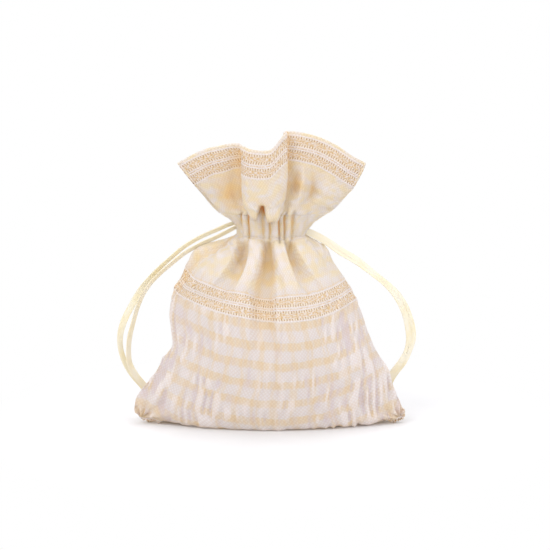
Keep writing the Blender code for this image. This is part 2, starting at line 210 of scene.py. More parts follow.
# The back mouth's edge: share of the way between the side seams, x, y and height
BACK_MOUTH = (
    (0.00, -41.4, 0.0, 116.9),
    (0.12, -31.0, 4.5, 119.4),
    (0.25, -19.0, 8.8, 119.8),
    (0.38, -8.0, 5.4, 118.0),
    (0.50, 2.0, 8.8, 118.8),
    (0.62, 12.0, 4.6, 122.6),
    (0.75, 22.0, 8.2, 122.6),
    (0.88, 32.6, 4.8, 119.6),
    (1.00, 41.6, 0.0, 116.8),
)

# Pleats in the channel: middle at the lower and at the upper stitches, half width, how far they stand out
FRONT_PLEATS = (
    (-15.2, -15.6, 2.0, 0.7),
    (-11.2, -11.8, 1.3, 0.9),
    (-6.8, -7.0, 2.9, 1.5),
    (-1.9, -2.1, 1.1, -0.1),
    (1.6, 1.2, 1.8, 1.2),
    (4.6, 4.4, 1.0, 0.6),
    (7.4, 7.6, 1.3, 1.2),
    (12.4, 13.0, 2.9, 0.9),
)
BACK_PLEATS = (
    (-14.6, -15.0, 2.2, 0.9),
    (-10.6, -10.2, 1.6, 1.0),
    (-7.3, -6.8, 1.5, 0.6),
    (-3.6, -3.0, 2.0, 1.3),
    (-0.4, 0.4, 1.1, 0.4),
    (2.6, 3.0, 1.7, 1.1),
    (6.2, 6.0, 1.8, 1.4),
    (9.6, 9.4, 1.4, 0.7),
    (13.2, 13.8, 2.6, 1.1),
)
VALLEY_DEPTH = 0.7
# Pleats from this half width on have a flat top
FLAT_PLEAT = 3.0

# Folds that fan out under the channel, each by height: middle, half width, how far it stands out (in: minus)
FRONT_FOLDS = (
    # left ridge
    (
        (85.3, -6.1, 3.5, 1.8), (79, -6.9, 3.3, 3.2), (72, -9.2, 3.2, 3.0),
        (66, -12.6, 3.8, 2.3), (57, -18.0, 6.5, 1.2), (46, -23, 9, 0.0),
    ),
    # right ridge
    (
        (85.3, 2.9, 3.1, 1.7), (79, 3.9, 3.1, 3.1), (72, 6.2, 3.2, 2.8),
        (66, 9.0, 4.0, 2.1), (57, 13.0, 6.5, 1.0), (46, 17, 9, 0.0),
    ),
    # valley between them
    (
        (85.3, -1.5, 1.7, -2.2), (79, -1.5, 2.5, -4.8), (72, -2.0, 3.8, -5.6), (65, -3.2, 4.7, -5.2),
        (54, -3.5, 4.9, -4.2), (44, -3.6, 5.0, -3.0), (36, -3.7, 5.2, -1.6), (27, -3.7, 6.0, 0.0),
    ),
    # valley to the left of them
    (
        (85.3, -12.1, 1.6, -3.0), (80, -12.6, 2.4, -4.8), (73, -15.2, 3.6, -4.0),
        (63, -21.5, 5, -1.2), (52, -27, 8, 0.0),
    ),
    # valley to the right of them
    (
        (85.3, 6.7, 1.5, -2.8), (80, 8.6, 2.2, -4.6), (73, 11.8, 3.0, -3.6),
        (63, 17.5, 5, -1.0), (52, 23, 8, 0.0),
    ),
    # left shoulder
    ((85.3, -16.0, 2.4, 0.6), (80, -18.6, 3.6, 1.6), (70, -25.0, 6.5, 1.2), (56, -32.0, 8, 0.0)),
    # right shoulder
    ((85.3, 11.5, 3.4, 0.8), (80, 14.4, 4.4, 1.5), (70, 20.5, 5.5, 0.8), (56, 29.0, 8, 0.0)),
    # soft dents lower down
    ((62, -30.0, 4, 0.0), (50, -34.0, 6, -1.0), (38, -33.0, 6, -1.1), (24, -29.0, 7, 0.0)),
    ((46, 21.0, 6, 0.0), (34, 19.0, 5, -0.9), (22, 15.0, 7, 0.0)),
    ((40, -9.0, 6, 0.0), (28, -11.0, 6, -0.7), (14, -9.0, 8, 0.0)),
)
BACK_FOLDS = (
    ((85.3, -3.6, 3.4, 1.5), (79, -5.0, 4.0, 2.6), (68, -8.6, 5.2, 1.9), (50, -14, 9, 0.0)),
    ((85.3, 6.2, 3.2, 1.5), (79, 8.4, 4.0, 2.6), (68, 13.6, 5.4, 2.0), (50, 20, 9, 0.0)),
    ((85.3, 1.2, 1.8, -2.2), (79, 1.6, 2.8, -2.6), (66, 2.6, 6.0, -2.0), (40, 4, 10, 0.0)),
    ((85.3, -9.2, 1.8, -2.4), (79, -12.6, 2.8, -2.6), (66, -20.0, 6.0, -1.4), (52, -26, 8, 0.0)),
    ((85.3, 11.6, 1.6, -2.4), (79, 15.0, 2.6, -2.4), (66, 22.0, 5.5, -1.2), (54, 28, 8, 0.0)),
    ((54, -24.0, 7, 0.0), (38, -20.0, 7, -1.1), (22, -16.0, 8, 0.0)),
    ((48, 30.0, 6, 0.0), (34, 27.0, 6, -1.0), (20, 22.0, 8, 0.0)),
)

# Strands of free ribbon, from the slot to the knot: x, y, height and turn of the ribbon's flat side away from
# the viewer in degrees
LEFT_BACK_STRAND = (
    (-15.2, 0.7, 90.8, 50), (-18.1, 0.7, 90.0, 50), (-24.2, 0.8, 87.4, 50), (-31.3, 1.6, 84.1, 50),
    (-38.4, 2.8, 79.8, 50), (-44.7, 3.8, 74.4, 50), (-50.4, 4.8, 69.1, 46), (-54.9, 5.7, 64.0, 32),
    (-59.3, 6.8, 57.9, 6), (-63.3, 7.6, 51.0, -4), (-66.4, 8.4, 44.6, 6), (-68.2, 9.0, 37.3, 30),
    (-68.0, 9.6, 31.8, 44), (-65.6, 10.2, 24.4, 36), (-62.4, 10.8, 19.4, 14), (-58.4, 11.6, 14.3, 0),
    (-54.8, 12.6, 8.6, 8), (-52.6, 13.3, 5.0, 20),
)
LEFT_FRONT_STRAND = (
    (-15.2, -0.7, 89.2, 50), (-18.1, -0.7, 87.6, 50), (-24.2, -0.6, 84.4, 50), (-31.3, 0.2, 81.1, 50),
    (-38.4, 1.4, 76.9, 50), (-44.7, 2.4, 71.7, 52), (-50.4, 3.4, 66.6, 54), (-54.4, 4.3, 62.2, 54),
    (-57.8, 5.3, 56.8, 54), (-60.4, 6.1, 50.3, 54), (-62.2, 6.9, 43.9, 54), (-63.8, 7.5, 37.5, 46),
    (-64.4, 8.2, 31.1, 48), (-63.8, 8.9, 24.6, 38), (-61.4, 9.6, 19.6, 12), (-57.6, 10.5, 14.6, 0),
    (-54.0, 11.8, 9.0, 6), (-51.8, 12.6, 5.2, 16),
)
RIGHT_BACK_STRAND = (
    (15.0, 0.7, 87.4, 54), (18.1, 0.7, 86.2, 54), (24.4, 1.1, 82.9, 54), (30.9, 2.0, 78.4, 52),
    (38.3, 3.2, 73.8, 52), (45.4, 4.5, 67.9, 56), (50.3, 5.5, 63.8, 60), (56.4, 6.5, 57.5, 30),
    (60.8, 7.5, 49.8, 12), (63.2, 8.5, 42.2, 10), (63.8, 9.1, 37.4, 20), (62.2, 10.1, 30.2, 44),
    (59.8, 10.7, 25.4, 24), (55.5, 11.7, 19.6, 4), (51.8, 12.7, 12.0, 4), (49.3, 13.6, 6.8, 16),
)
RIGHT_FRONT_STRAND = (
    (15.0, -0.7, 86.8, 52), (18.1, -0.7, 85.4, 52), (23.9, -0.3, 82.0, 52), (30.2, 0.6, 77.4, 52),
    (37.6, 1.8, 72.8, 54), (44.9, 3.1, 67.2, 58), (49.8, 4.1, 63.1, 62), (55.4, 5.1, 57.0, 46),
    (59.4, 6.1, 49.4, 34), (61.3, 7.1, 42.0, 32), (61.8, 7.7, 37.9, 36), (60.6, 8.7, 30.9, 50),
    (58.4, 9.3, 26.1, 30), (54.4, 10.3, 20.0, 6), (50.8, 11.4, 12.2, 6), (48.3, 12.3, 6.8, 16),
)
STRANDS = {
    LEFT: (("back", LEFT_BACK_STRAND), ("front", LEFT_FRONT_STRAND)),
    RIGHT: (("back", RIGHT_BACK_STRAND), ("front", RIGHT_FRONT_STRAND)),
}
RIBBON_WIDTH = 3.0
RIBBON_THICKNESS = 0.34
STRAND_STEP = 0.9

# The ribbon's run in the channel: its height, how far inside the outer wall it lies, its turn at the slot
RUN_HEIGHT = {LEFT: 90.2, RIGHT: 87.4}
RUN_INSET = 2.15
RUN_LEADS = (16.4, 15.4, 14.2)

# Each turn of ribbon round a knot: place along it, radius and lean. Then the knot's radii from end to end,
# how far its two short ends spread, and their length
KNOT_WRAPS = ((-2.0, 1.75, 0.35), (0.1, 2.15, -0.30), (2.1, 1.8, 0.25))
KNOT_WAIST = (0.6, 1.3, 1.6, 1.7, 1.65, 1.7, 1.8, 1.75, 1.65, 1.7, 1.6, 1.2, 0.5)
KNOT_SPREAD = (-0.32, 0.26)
KNOT_TAIL = 9.0

STITCH_PITCH = 2.3
STITCH_LENGTH = 0.72 * STITCH_PITCH
STITCH_RADIUS = 0.11

# Which rows and columns of the cloth's grid the overlocked seams follow
SIDE_SEAM = slice(60, 215, 4)
BOTTOM_SEAM = slice(30, -30, 4)

TABLE_HALF = 3000.0
# How far the table's shadowed middle reaches across and towards the camera, in metres
SHADOW_REACH = (0.105, 0.12)

# Light from all round, and lamps: name, place and size in metres, power in watts, colour
STUDIO_LIGHT = 0.67
LAMP_AIM = (0, 0, 0.07)
LAMPS = (
    ("key", (-0.85, -0.85, 1.10), 1.5, 11.2, (1.0, 0.99, 0.975)),
    ("fill", (1.15, -0.85, 0.70), 1.6, 7.8, (0.99, 0.985, 1.0)),
    ("top", (0.05, 0.35, 1.4), 1.2, 9.0, (1.0, 1.0, 1.0)),
)


# ---------------------------------------------------------------- curves and random fields


def along(stations, at):
    """A smooth curve through stations (key, value, ...), read at an array of keys."""
    keys = np.array([station[0] for station in stations], float)
    values = np.array([station[1:] for station in stations], float)
    slopes = np.gradient(values, keys, axis=0)
    at = np.clip(np.asarray(at, float), keys[0], keys[-1])
    first = np.clip(np.searchsorted(keys, at, side="right") - 1, 0, len(keys) - 2)
    span = (keys[first + 1] - keys[first])[..., None]
    t = (at - keys[first])[..., None] / span
    start, end = values[first], values[first + 1]
    rise = 3 * t**2 - 2 * t**3
    return (
        start * (1 - rise)
        + end * rise
        + slopes[first] * span * (t**3 - 2 * t**2 + t)
        + slopes[first + 1] * span * (t**3 - t**2)
    )


def smooth_step(value):
    value = np.clip(value, 0.0, 1.0)
    return value * value * (3 - 2 * value)


def bump(value):
    """1 at 0, falling smoothly to 0 at -1 and 1."""
    return np.clip(1 - value**2, 0, None) ** 2


def plateau(value):
    """1 near 0, falling to 0 at -1 and 1 with steeper sides than a bump."""
    return np.clip(1 - value**6, 0, None) ** 2


def near(value, middle, reach):
    """1 at the middle value, falling off smoothly over that reach to both sides."""
    return np.exp(-(((value - middle) / reach) ** 2))


def noise(u, v, seed):
    """A smooth random field from -1 to 1 that changes over about one unit of u and of v."""
    cells = 97
    table = np.random.default_rng(seed).uniform(-1, 1, (cells, cells))
    whole_u, whole_v = np.floor(u).astype(int), np.floor(v).astype(int)
    part_u, part_v = smooth_step(u - whole_u), smooth_step(v - whole_v)

    def row(step):
        first, second = (table[(whole_u + a) % cells, (whole_v + step) % cells] for a in (0, 1))
        return first * (1 - part_u) + second * part_u

    return row(0) * (1 - part_v) + row(1) * part_v


def lengths(points, axis):
    """Length along a grid's rows or columns, from its first point."""
    steps = np.linalg.norm(np.diff(points, axis=axis), axis=2)
    total = np.cumsum(steps, axis=axis)
    start = np.zeros_like(np.take(total, [0], axis=axis))
    return np.concatenate([start, total], axis=axis)


def unit(vectors):
    """Vectors of length 1 in the same directions."""
    return vectors / np.maximum(np.linalg.norm(vectors, axis=-1, keepdims=True), 1e-9)


def outward(points, face):
    """The surface's own direction outwards at each point of a grid."""
    normal = unit(np.cross(np.gradient(points, axis=1), np.gradient(points, axis=0)))
    middle = normal[points.shape[0] // 2, points.shape[1] // 2, 1]
    return normal * (1 if middle * face > 0 else -1)


def blurred(field, rows, columns):
    """The field averaged over a window of that many rows and columns."""
    for axis, half in ((0, rows), (1, columns)):
        pad = [(0, 0), (0, 0)]
        pad[axis] = (half + 1, half)
        total = np.cumsum(np.pad(field, pad, mode="edge"), axis=axis)
        size = 2 * half + 1
        high = np.take(total, range(size, total.shape[axis]), axis=axis)
        low = np.take(total, range(0, total.shape[axis] - size), axis=axis)
        field = (high - low) / size
    return field


# ---------------------------------------------------------------- meshes


def put_in_scene(name, data):
    made = bpy.data.objects.new(name, data)
    bpy.context.scene.collection.objects.link(made)
    return made


def finished(name, mesh, material):
    """The object of a finished mesh, with its material."""
    mesh.materials.append(material)
    made = put_in_scene(name, mesh)
    return made


def quads(index):
    """The four-sided faces of a grid of point numbers."""
    corners = (index[:-1, :-1], index[:-1, 1:], index[1:, 1:], index[1:, :-1])
    return np.stack(corners, axis=-1).reshape(-1, 4)


def grid_mesh(name, points, material, uv=None, fields=None):
    """A mesh over a grid of points in millimetres, with its cloth coordinates in decimetres."""
    rows, columns = points.shape[:2]
    faces = quads(np.arange(rows * columns).reshape(rows, columns))
    mesh = bpy.data.meshes.new(name)
    mesh.from_pydata((points.reshape(-1, 3) * MM).tolist(), [], faces.tolist())
    if uv is not None:
        layer = mesh.uv_layers.new(name="cloth")
        layer.data.foreach_set("uv", (uv.reshape(-1, 2)[faces.reshape(-1)] / 100).ravel())
    for field, values in (fields or {}).items():
        attribute = mesh.attributes.new(field, "FLOAT", "POINT")
        attribute.data.foreach_set("value", values.ravel().astype(np.float32))
    mesh.shade_smooth()
    return finished(name, mesh, material)


def tube_mesh(name, path, sideways, profile, material, caps=True):
    """A mesh swept along a path: profile is a closed list of (across, out) in millimetres."""
    path = np.asarray(path, float)
    tangent = unit(np.gradient(path, axis=0))
    sideways = unit(sideways - tangent * (sideways * tangent).sum(1, keepdims=True))
    out = np.cross(tangent, sideways)
    profile = np.asarray(profile, float)
    points = (
        path[:, None, :]
        + sideways[:, None, :] * profile[None, :, 0, None]
        + out[:, None, :] * profile[None, :, 1, None]
    )
    rings, corners = points.shape[:2]
    index = np.arange(rings * corners).reshape(rings, corners)
    faces = quads(np.concatenate([index, index[:, :1]], axis=1)).tolist()
    if caps:
        faces += [index[0, ::-1].tolist(), index[-1].tolist()]
    mesh = bpy.data.meshes.new(name)
    mesh.from_pydata((points.reshape(-1, 3) * MM).tolist(), [], faces)
    length = lengths(path[:, None, :], 0)[:, 0]
    round_it = np.linspace(0, 2 * RIBBON_WIDTH, corners + 1)
    layer = mesh.uv_layers.new(name="cloth")
    for face in mesh.polygons:
        last_strip = any(corner % corners == corners - 1 for corner in face.vertices)
        for corner, loop in zip(face.vertices, face.loop_indices):
            ring, spot = divmod(corner, corners)
            across = round_it[corners if spot == 0 and last_strip else spot]
            layer.data[loop].uv = (across / 100, length[ring] / 100)
    mesh.shade_smooth()
    mesh.set_sharp_from_angle(angle=math.radians(60))
    return finished(name, mesh, material)


# ---------------------------------------------------------------- cloth


def section(angle, face, left, right, depth, point):
    """A point of the body's level section: angle is 0 at the face's middle and 90 at the widest points."""
    cosine, sine = np.cos(angle), np.sin(angle)
    width = np.where(sine < 0, left, right)
    away = np.sign(cosine) * np.abs(cosine) ** (2 * point) * depth
    return width * sine, face * away


def seam_angles(face, left_turn, right_turn, share):
    """The angle at each share of the way from the left side seam to the right one."""
    left = -90 - face * left_turn
    right = 90 + face * right_turn
    return np.radians(left + (right - left) * share)


def body_points(face, share):
    """The plain body, row by row from the bottom seam to the lower stitches."""
    length = np.linspace(0, PANEL_LENGTH, BODY_ROWS)
    middle, side, left, right, depth, point, left_turn, right_turn = (
        column[:, None] for column in along(BODY, length).T
    )
    angle = seam_angles(face, left_turn, right_turn, share[None, :])
    depth, point = np.maximum(depth, 0.1), np.maximum(point, 0.5)
    x, y = section(angle, face, left, right, depth, point)
    height = side + (middle - side) * np.cos(angle) ** 2
    turned = np.clip(left_turn / 30, 0, 1)
    height = height - 1.7 * turned * near(angle, angle[:, :1], math.radians(16))
    return np.stack([x, y, np.maximum(height, 0.0)], axis=-1)


def neck_points(face, share, height, inset=0.0):
    """Rows round the gathered neck at an array of heights."""
    angle = np.radians(-90 + 180 * share)[None, :]
    height = np.asarray(height, float)[:, None]
    flare = along(END_FLARE, height[:, 0])
    sine = np.sin(angle)
    spread = np.where(sine < 0, flare[:, :1], flare[:, 1:]) * np.abs(sine) ** 6
    inset = np.asarray(inset, float).reshape(-1, 1)
    x = (NECK_HALF_WIDTH - inset) * sine + np.sign(sine) * spread
    y = face * (NECK_HALF_DEPTH - inset) * np.cos(angle)
    return np.stack(np.broadcast_arrays(x, y, height), axis=-1)


def pleats(face, x, climb):
    """How far the gathers stand out, where climb runs from 0 at the lower stitches to 1 at the upper ones."""
    found = np.full(np.broadcast(x, climb).shape, -VALLEY_DEPTH)
    for low, high, half, out in FRONT_PLEATS if face == FRONT else BACK_PLEATS:
        spot = (x - (low + (high - low) * climb)) / half
        flatness = 2 if half < FLAT_PLEAT else 6
        lobe = np.clip(1 - np.abs(spot) ** flatness, 0, None) ** 0.75
        found = np.maximum(found, (out + VALLEY_DEPTH) * lobe - VALLEY_DEPTH)
    return found


def folds(face, x, height):
    """How far the folds that fan out under the channel stand out of the plain body."""
    found = np.zeros_like(x)
    for fold in FRONT_FOLDS if face == FRONT else BACK_FOLDS:
        stations = sorted(fold)
        middle, half, out = np.moveaxis(along(stations, height), -1, 0)
        inside = (height > stations[0][0] - 6) & (height < LOWER_STITCH + 2)
        found += np.where(inside, out * plateau((x - middle) / half / 1.2), 0)
    return found


def puckers(face, across, down, edge, low):
    """Short upright crinkles of the loose weave, strongest near the side seams and low down."""
    seed = 11 if face == FRONT else 23
    lean = 0.35 * noise(across / 9, down / 9, seed)
    fine = noise(across / 1.7 + lean, down / 6.5, seed + 1)
    coarse = noise(across / 3.2 + lean, down / 10.0, seed + 2)
    patch = smooth_step(0.55 + 0.9 * noise(across / 11, down / 11, seed + 3))
    crinkle = 0.92 * fine + 0.22 * coarse
    strength = 0.38 + 0.65 * smooth_step((edge - 0.15) / 0.45) + 0.25 * low
    return crinkle * strength * (0.40 + 0.60 * patch)


def corner_folds(x, height, face):
    """Creases that run in to the two bottom corners."""
    found = np.zeros_like(x)
    for side, corner in CORNERS.items():
        dx, dz = side * x - corner, height - 2.5
        far = np.hypot(dx, dz)
        spokes = np.sin(9 * np.arctan2(dz, -dx) + side * 0.8 + 0.5 * face)
        crease = spokes * np.exp(-far / 11) * smooth_step(far / 3)
        found += np.where(side * x > 20, 1.2 * crease, 0)
    return found


def gathered_share(share):
    """1 where the neck is gathered, 0 on the plain flares at its two ends."""
    return smooth_step((0.76 - np.abs(2 * share - 1)) / 0.2)[None, :]


def stitch_pinch(height):
    """How far the two rows of stitches pull the cloth in."""
    return -0.30 * near(height, LOWER_STITCH, 0.5) - 0.12 * near(height, UPPER_STITCH, 0.5)


def seam_relief(face, share, height, from_seam):
    """The dip along each side seam, and the tuck of the back panel behind the left shoulder."""
    dip = -0.4 * near(from_seam, 0, 0.8)
    if face == BACK:
        dip = dip - 0.9 * bump((from_seam - 4) / 4) * (share < 0.5) * smooth_step((height - 55) / 12)
    return dip


def body_relief(face, base, share):
    """How far the cloth stands out of the plain body and channel, and of that the crinkles and the ridges."""
    x, height = base[..., 0], base[..., 2]
    across = lengths(base, 1)
    across = across - across[:, COLUMNS // 2, None]
    down = lengths(base[::-1], 0)[::-1]
    upper_rows = (np.arange(len(base)) > BODY_ROWS // 2)[:, None]
    gathered = smooth_step((height - GATHER_START) / 2.4) * upper_rows
    loose = 1 - gathered
    neck = gathered_share(share)
    edge = np.abs(2 * share[None, :] - 1)
    from_seam = (1 - edge) * PANEL_WIDTH / 2
    # the body: crinkles that stop at the gold band, folds under the channel, and creases at the corners
    below_band = smooth_step((down - BAND_START - BAND_WIDTH) / 3)
    above_band = smooth_step((BAND_START - down) / 3)
    low = smooth_step((38 - height) / 30)
    upright = puckers(face, across, down, edge, low) * smooth_step((1 - edge) / 0.06)
    upright = upright * (0.12 + 0.88 * (below_band + 0.35 * above_band))
    fanned = folds(face, x, height)
    body = fanned * (height > 8) + upright * loose + corner_folds(x, height, face)
    puff = 1.6 * near(height, PUFF_HEIGHT, 1.5) * smooth_step((pleats(face, x, 0 * x) + 0.6) / 1.2)
    body = body * smooth_step(from_seam / 2.5) + puff + seam_relief(face, share, height, from_seam)
    # the channel: its gathers, and a fine crimp on them
    climb = np.clip((height - LOWER_STITCH) / (UPPER_STITCH - LOWER_STITCH), 0, 1)
    tight = pleats(face, x, climb) * gathered * neck
    crimp = 0.16 * noise(across / 0.9, down / 3.2, 37) * gathered
    pinch = stitch_pinch(height) * smooth_step((1 - edge) * 30) * (0.25 + 0.75 * neck)
    ridge = smooth_step(fanned / 2.6) * loose + smooth_step(tight / 1.1)
    return body * loose + tight + crimp + pinch, upright, ridge


def hollows(points, normal):
    """How far each point lies behind the cloth around it, from 0 to 1."""
    around = np.stack([blurred(points[..., axis], 8, 34) for axis in range(3)], axis=-1)
    behind = ((around - points) * normal).sum(-1)
    return np.clip(behind / 4.5, 0, 1)


def cavity_of(relief, rows, columns, depth):
    """How deep each point lies below the mean of its window, where 1 is that depth or more."""
    return np.clip((blurred(relief, rows, columns) - relief) / depth, 0, 1)


def uv_of(points, down):
    """Cloth coordinates: across from the left side seam, and down from the lower stitches."""
    across = lengths(points * np.array([1.0, 0.55, 1.0]), 1)
    across = across / across[:, -1:] * PANEL_WIDTH
    return np.stack([across, np.broadcast_to(down, across.shape)], axis=-1)


def column_shares():
    """Where each column lies between the side seams, closer together near them."""
    even = np.linspace(0, 1, COLUMNS)
    return 0.65 * even + 0.35 * (1 - np.cos(np.pi * even)) / 2


def wall_shade(face, share, height, relief):
    """Where light is lost on the body and the channel's outer wall, from 0 to about 1."""
    creases = 0.40 * cavity_of(relief, 5, 9, 1.2)
    valleys = 0.62 * cavity_of(relief, 9, 34, 5.0)
    slits = 0.92 * cavity_of(relief, 4, 20, 1.3)
    cavity = np.where(height < LOWER_STITCH - 0.5, np.maximum(creases, valleys), slits)
    cavity = cavity * (1 - 0.6 * near(height, LOWER_STITCH, 1.1))
    if face == BACK:
        # the back panel lies in the shade of the front one along the left shoulder
        shade = bump((share - 0.03) / 0.13) * smooth_step((height - 54) / 10)
        cavity = np.maximum(cavity, 0.40 * shade * (height < LOWER_STITCH))
    return cavity


def outer_wall(face, share):
    """The panel and the channel's outer wall, from the bottom seam up to the upper stitches."""
    lower = body_points(face, share)
    heights = np.linspace(LOWER_STITCH, UPPER_STITCH, CHANNEL_ROWS + 1)[1:]
    base = np.concatenate([lower, neck_points(face, share, heights)])
    relief, upright, ridge = body_relief(face, base, share)
    points = base + outward(base, face) * relief[..., None]
    points[..., 2] = np.maximum(points[..., 2], 0.0)
    up = lengths(lower, 0)
    down = PANEL_LENGTH * (1 - up / up[-1:])
    channel_down = -(heights - LOWER_STITCH)[:, None] * np.ones_like(share)
    cavity = wall_shade(face, share, base[..., 2], relief - upright)
    # the crease field carries painted shade and painted highlight: high in the crinkles' dips, low on their
    # crests and on the ridges of the folds
    crease = np.clip(PLAIN_CREASE - upright / 1.1 - 0.20 * ridge, 0, 1)
    return points, base, np.concatenate([down, channel_down]), cavity, crease, relief


def inner_wall(face, share, relief):
    """The channel's inner wall, down from the upper stitches to the lower ones."""
    heights = np.linspace(UPPER_STITCH - 0.1, LOWER_STITCH + 0.2, LINING_ROWS)
    clear = np.minimum(UPPER_STITCH - heights, heights - LOWER_STITCH)
    free = smooth_step(clear / 0.9)[:, None]
    base = neck_points(face, share, heights, 0.6 + 2.5 * free[:, 0])
    tuck = relief[-1][None, :] * (1 - free) - inner_pleats(face, share) * free
    points = base + outward(base, face) * tuck[..., None]
    down = -(2 * FRILL_LENGTH + CHANNEL_LENGTH + MOUTH_FOLD + UPPER_STITCH - heights)
    # a steady cavity of 0.5 paints warm shade over the inside of the channel
    return points, down[:, None] * np.ones_like(share), 0.5 * np.ones_like(tuck)


def inner_pleats(face, share):
    """How far the gathers stand in towards the middle of the neck."""
    turns = 8 if face == FRONT else 9
    gathers = 2.6 * np.abs(np.cos(np.pi * turns * share + 0.4)) * np.sin(np.pi * share)
    return gathers[None, :]


def front_frill_base(share, rise, foot):
    """The front of the frill: a tongue that leans forward between two wings and laps over the right one."""
    levels = [foot]
    for _, spots in FRONT_LEVELS:
        stations = [(spot_share, *spot) for spot_share, spot in zip(FRONT_SHARES, spots)]
        levels.append(along(stations, share))
    keys = (0.0, *(level for level, _ in FRONT_LEVELS))
    stations = [(key, *level.ravel()) for key, level in zip(keys, levels)]
    return along(stations, rise).reshape(len(rise), len(share), 3)


def back_frill_base(share, rise, foot):
    """The back of the frill: straight up to its mouth, with its ends bowed outwards."""
    mouth = along(BACK_MOUTH, share)
    side = np.abs(2 * share - 1)[None, :] ** 3
    base = foot[None] + (mouth - foot)[None] * rise[:, None, None]
    bow = 4 * (rise * (1 - rise))[:, None]
    base[..., 0] += bow * side * np.where(share < 0.5, -0.8, 2.4)[None, :]
    return base


def back_frill_relief(share, rise):
    """Soft waves that run up from the gathers."""
    return 1.6 * np.cos(2 * np.pi * 5.5 * share)[None, :] * bump((rise - 0.3) / 0.5)[:, None]


def front_hollow(share, rise):
    """The hollow between the lips of the tongue."""
    middle, half, reach, depth = FRONT_HOLLOW
    taper = np.clip(1 - rise / reach, 0, 1)[:, None]
    across = (share[None, :] - middle) / (half * (0.3 + 0.7 * taper))
    return -depth * bump(across) * smooth_step(1.5 * taper)


def cloth_from_mouth(base):
    """Length of cloth from each point up to the mouth, evened out to the frill's length at its foot."""
    from_mouth = lengths(base[::-1], 0)[::-1]
    reach = from_mouth[:1]
    near_foot = smooth_step(from_mouth / reach) ** 2
    return from_mouth * (1 + (FRILL_LENGTH / reach - 1) * near_foot)


def frill_gathers(face, share, rise, foot):
    """The channel's gathers, which run on up the frill and fade."""
    gathers = pleats(face, foot[None, :, 0] * np.ones_like(rise), 1.0)
    gathers = gathers * np.where(gathers < 0, 1.5, 1.0) * gathered_share(share)
    fading = 1 - smooth_step(rise / (0.16 if face == FRONT else 0.42))
    return gathers * fading * smooth_step(0.35 + rise / 0.05)


def frill_crinkles(across, rise):
    """Soft crinkles of the frill, weaker over its band."""
    up = rise * FRILL_LENGTH
    crinkle = 0.22 * noise(across / 1.6, up / 4.2, 53) + 0.4 * noise(across / 5.5, up / 8.0, 59)
    return crinkle * smooth_step(rise / 0.15) * (1 - 0.6 * smooth_step((rise - 0.6) / 0.15))


def with_lips(outer, normal, share, rise):
    """The front of the frill with its two lips swollen over the channel."""
    swell = bump((rise - 0.085) / 0.15)
    for middle, half, out, drop in FRONT_LIPS:
        lobe = np.sqrt(np.clip(1 - ((share[None, :] - middle) / half) ** 2, 0, None)) * swell
        outer = outer + normal * (out * lobe)[..., None]
        outer[..., 2] -= drop * lobe
    return outer


def mouth_fold(outer, inner):
    """Rows of cloth that turn over the mouth, from the outer edge to the inner one."""
    centre, half = (outer + inner) / 2, (outer - inner) / 2
    up = UP * np.linalg.norm(half, axis=1, keepdims=True)
    turns = np.linspace(0, np.pi, FOLD_ROWS + 2)[1:-1]
    return np.stack([centre + half * math.cos(turn) + up * math.sin(turn) for turn in turns])


def frill_shade(face, share, rise, stand, outer, normal):
    """Where light is lost on the outside of the frill, from 0 to 1."""
    shade = np.maximum(cavity_of(stand, 6, 10, 1.8), hollows(outer, normal))
    for middle, half, level, reach, depth in FRONT_SHADES if face == FRONT else ():
        lee = bump((share - middle) / half)[None, :] * bump((rise - level) / reach)
        shade = np.maximum(shade, depth * lee)
    return shade


def frill_walls(face, share, relief):
    """The frill: up outside from the upper stitches, over the mouth's fold, and down inside as the hem."""
    foot = neck_points(face, share, [UPPER_STITCH])[0]
    levels = np.linspace(0, 1, FRILL_ROWS)
    rise = levels[:, None]
    if face == FRONT:
        base, shape = front_frill_base(share, levels, foot), front_hollow(share, levels)
    else:
        base, shape = back_frill_base(share, levels, foot), back_frill_relief(share, levels)
    from_mouth = cloth_from_mouth(base)
    ends = smooth_step((1 - np.abs(2 * share - 1)) * 22)[None, :]
    stand = frill_gathers(face, share, rise, foot) + shape + frill_crinkles(lengths(base, 1), rise)
    stand = stand * ends + sum(0.14 * near(from_mouth, at, 0.35) for at in FRILL_CORDS)
    stand[0] = relief[-1]
    normal = outward(base, face)
    outer = base + normal * stand[..., None]
    if face == FRONT:
        outer = with_lips(outer, normal, share, rise)
    inner = outer - normal * (0.9 * smooth_step(0.2 + rise / 0.3))[..., None]
    fold = mouth_fold(outer[-1], inner[-1])
    hem = np.linspace(FRILL_ROWS - 1, 1, HEM_ROWS).round().astype(int)
    over = np.linspace(0.1, MOUTH_FOLD - 0.1, FOLD_ROWS)[:, None] * np.ones_like(share)
    top = CHANNEL_LENGTH + FRILL_LENGTH
    down = np.concatenate([from_mouth[1:] - top, -top - over, -top - MOUTH_FOLD - from_mouth[hem]])
    shade = frill_shade(face, share, rise, stand, outer, normal)
    # the hem inside the frill gets a steady 0.3 of painted warm shade, and the fold over the mouth gets none
    cavity = np.concatenate([shade[1:], 0 * over, np.full((HEM_ROWS, COLUMNS), 0.3)])
    return np.concatenate([outer[1:], fold, inner[hem]]), down, cavity


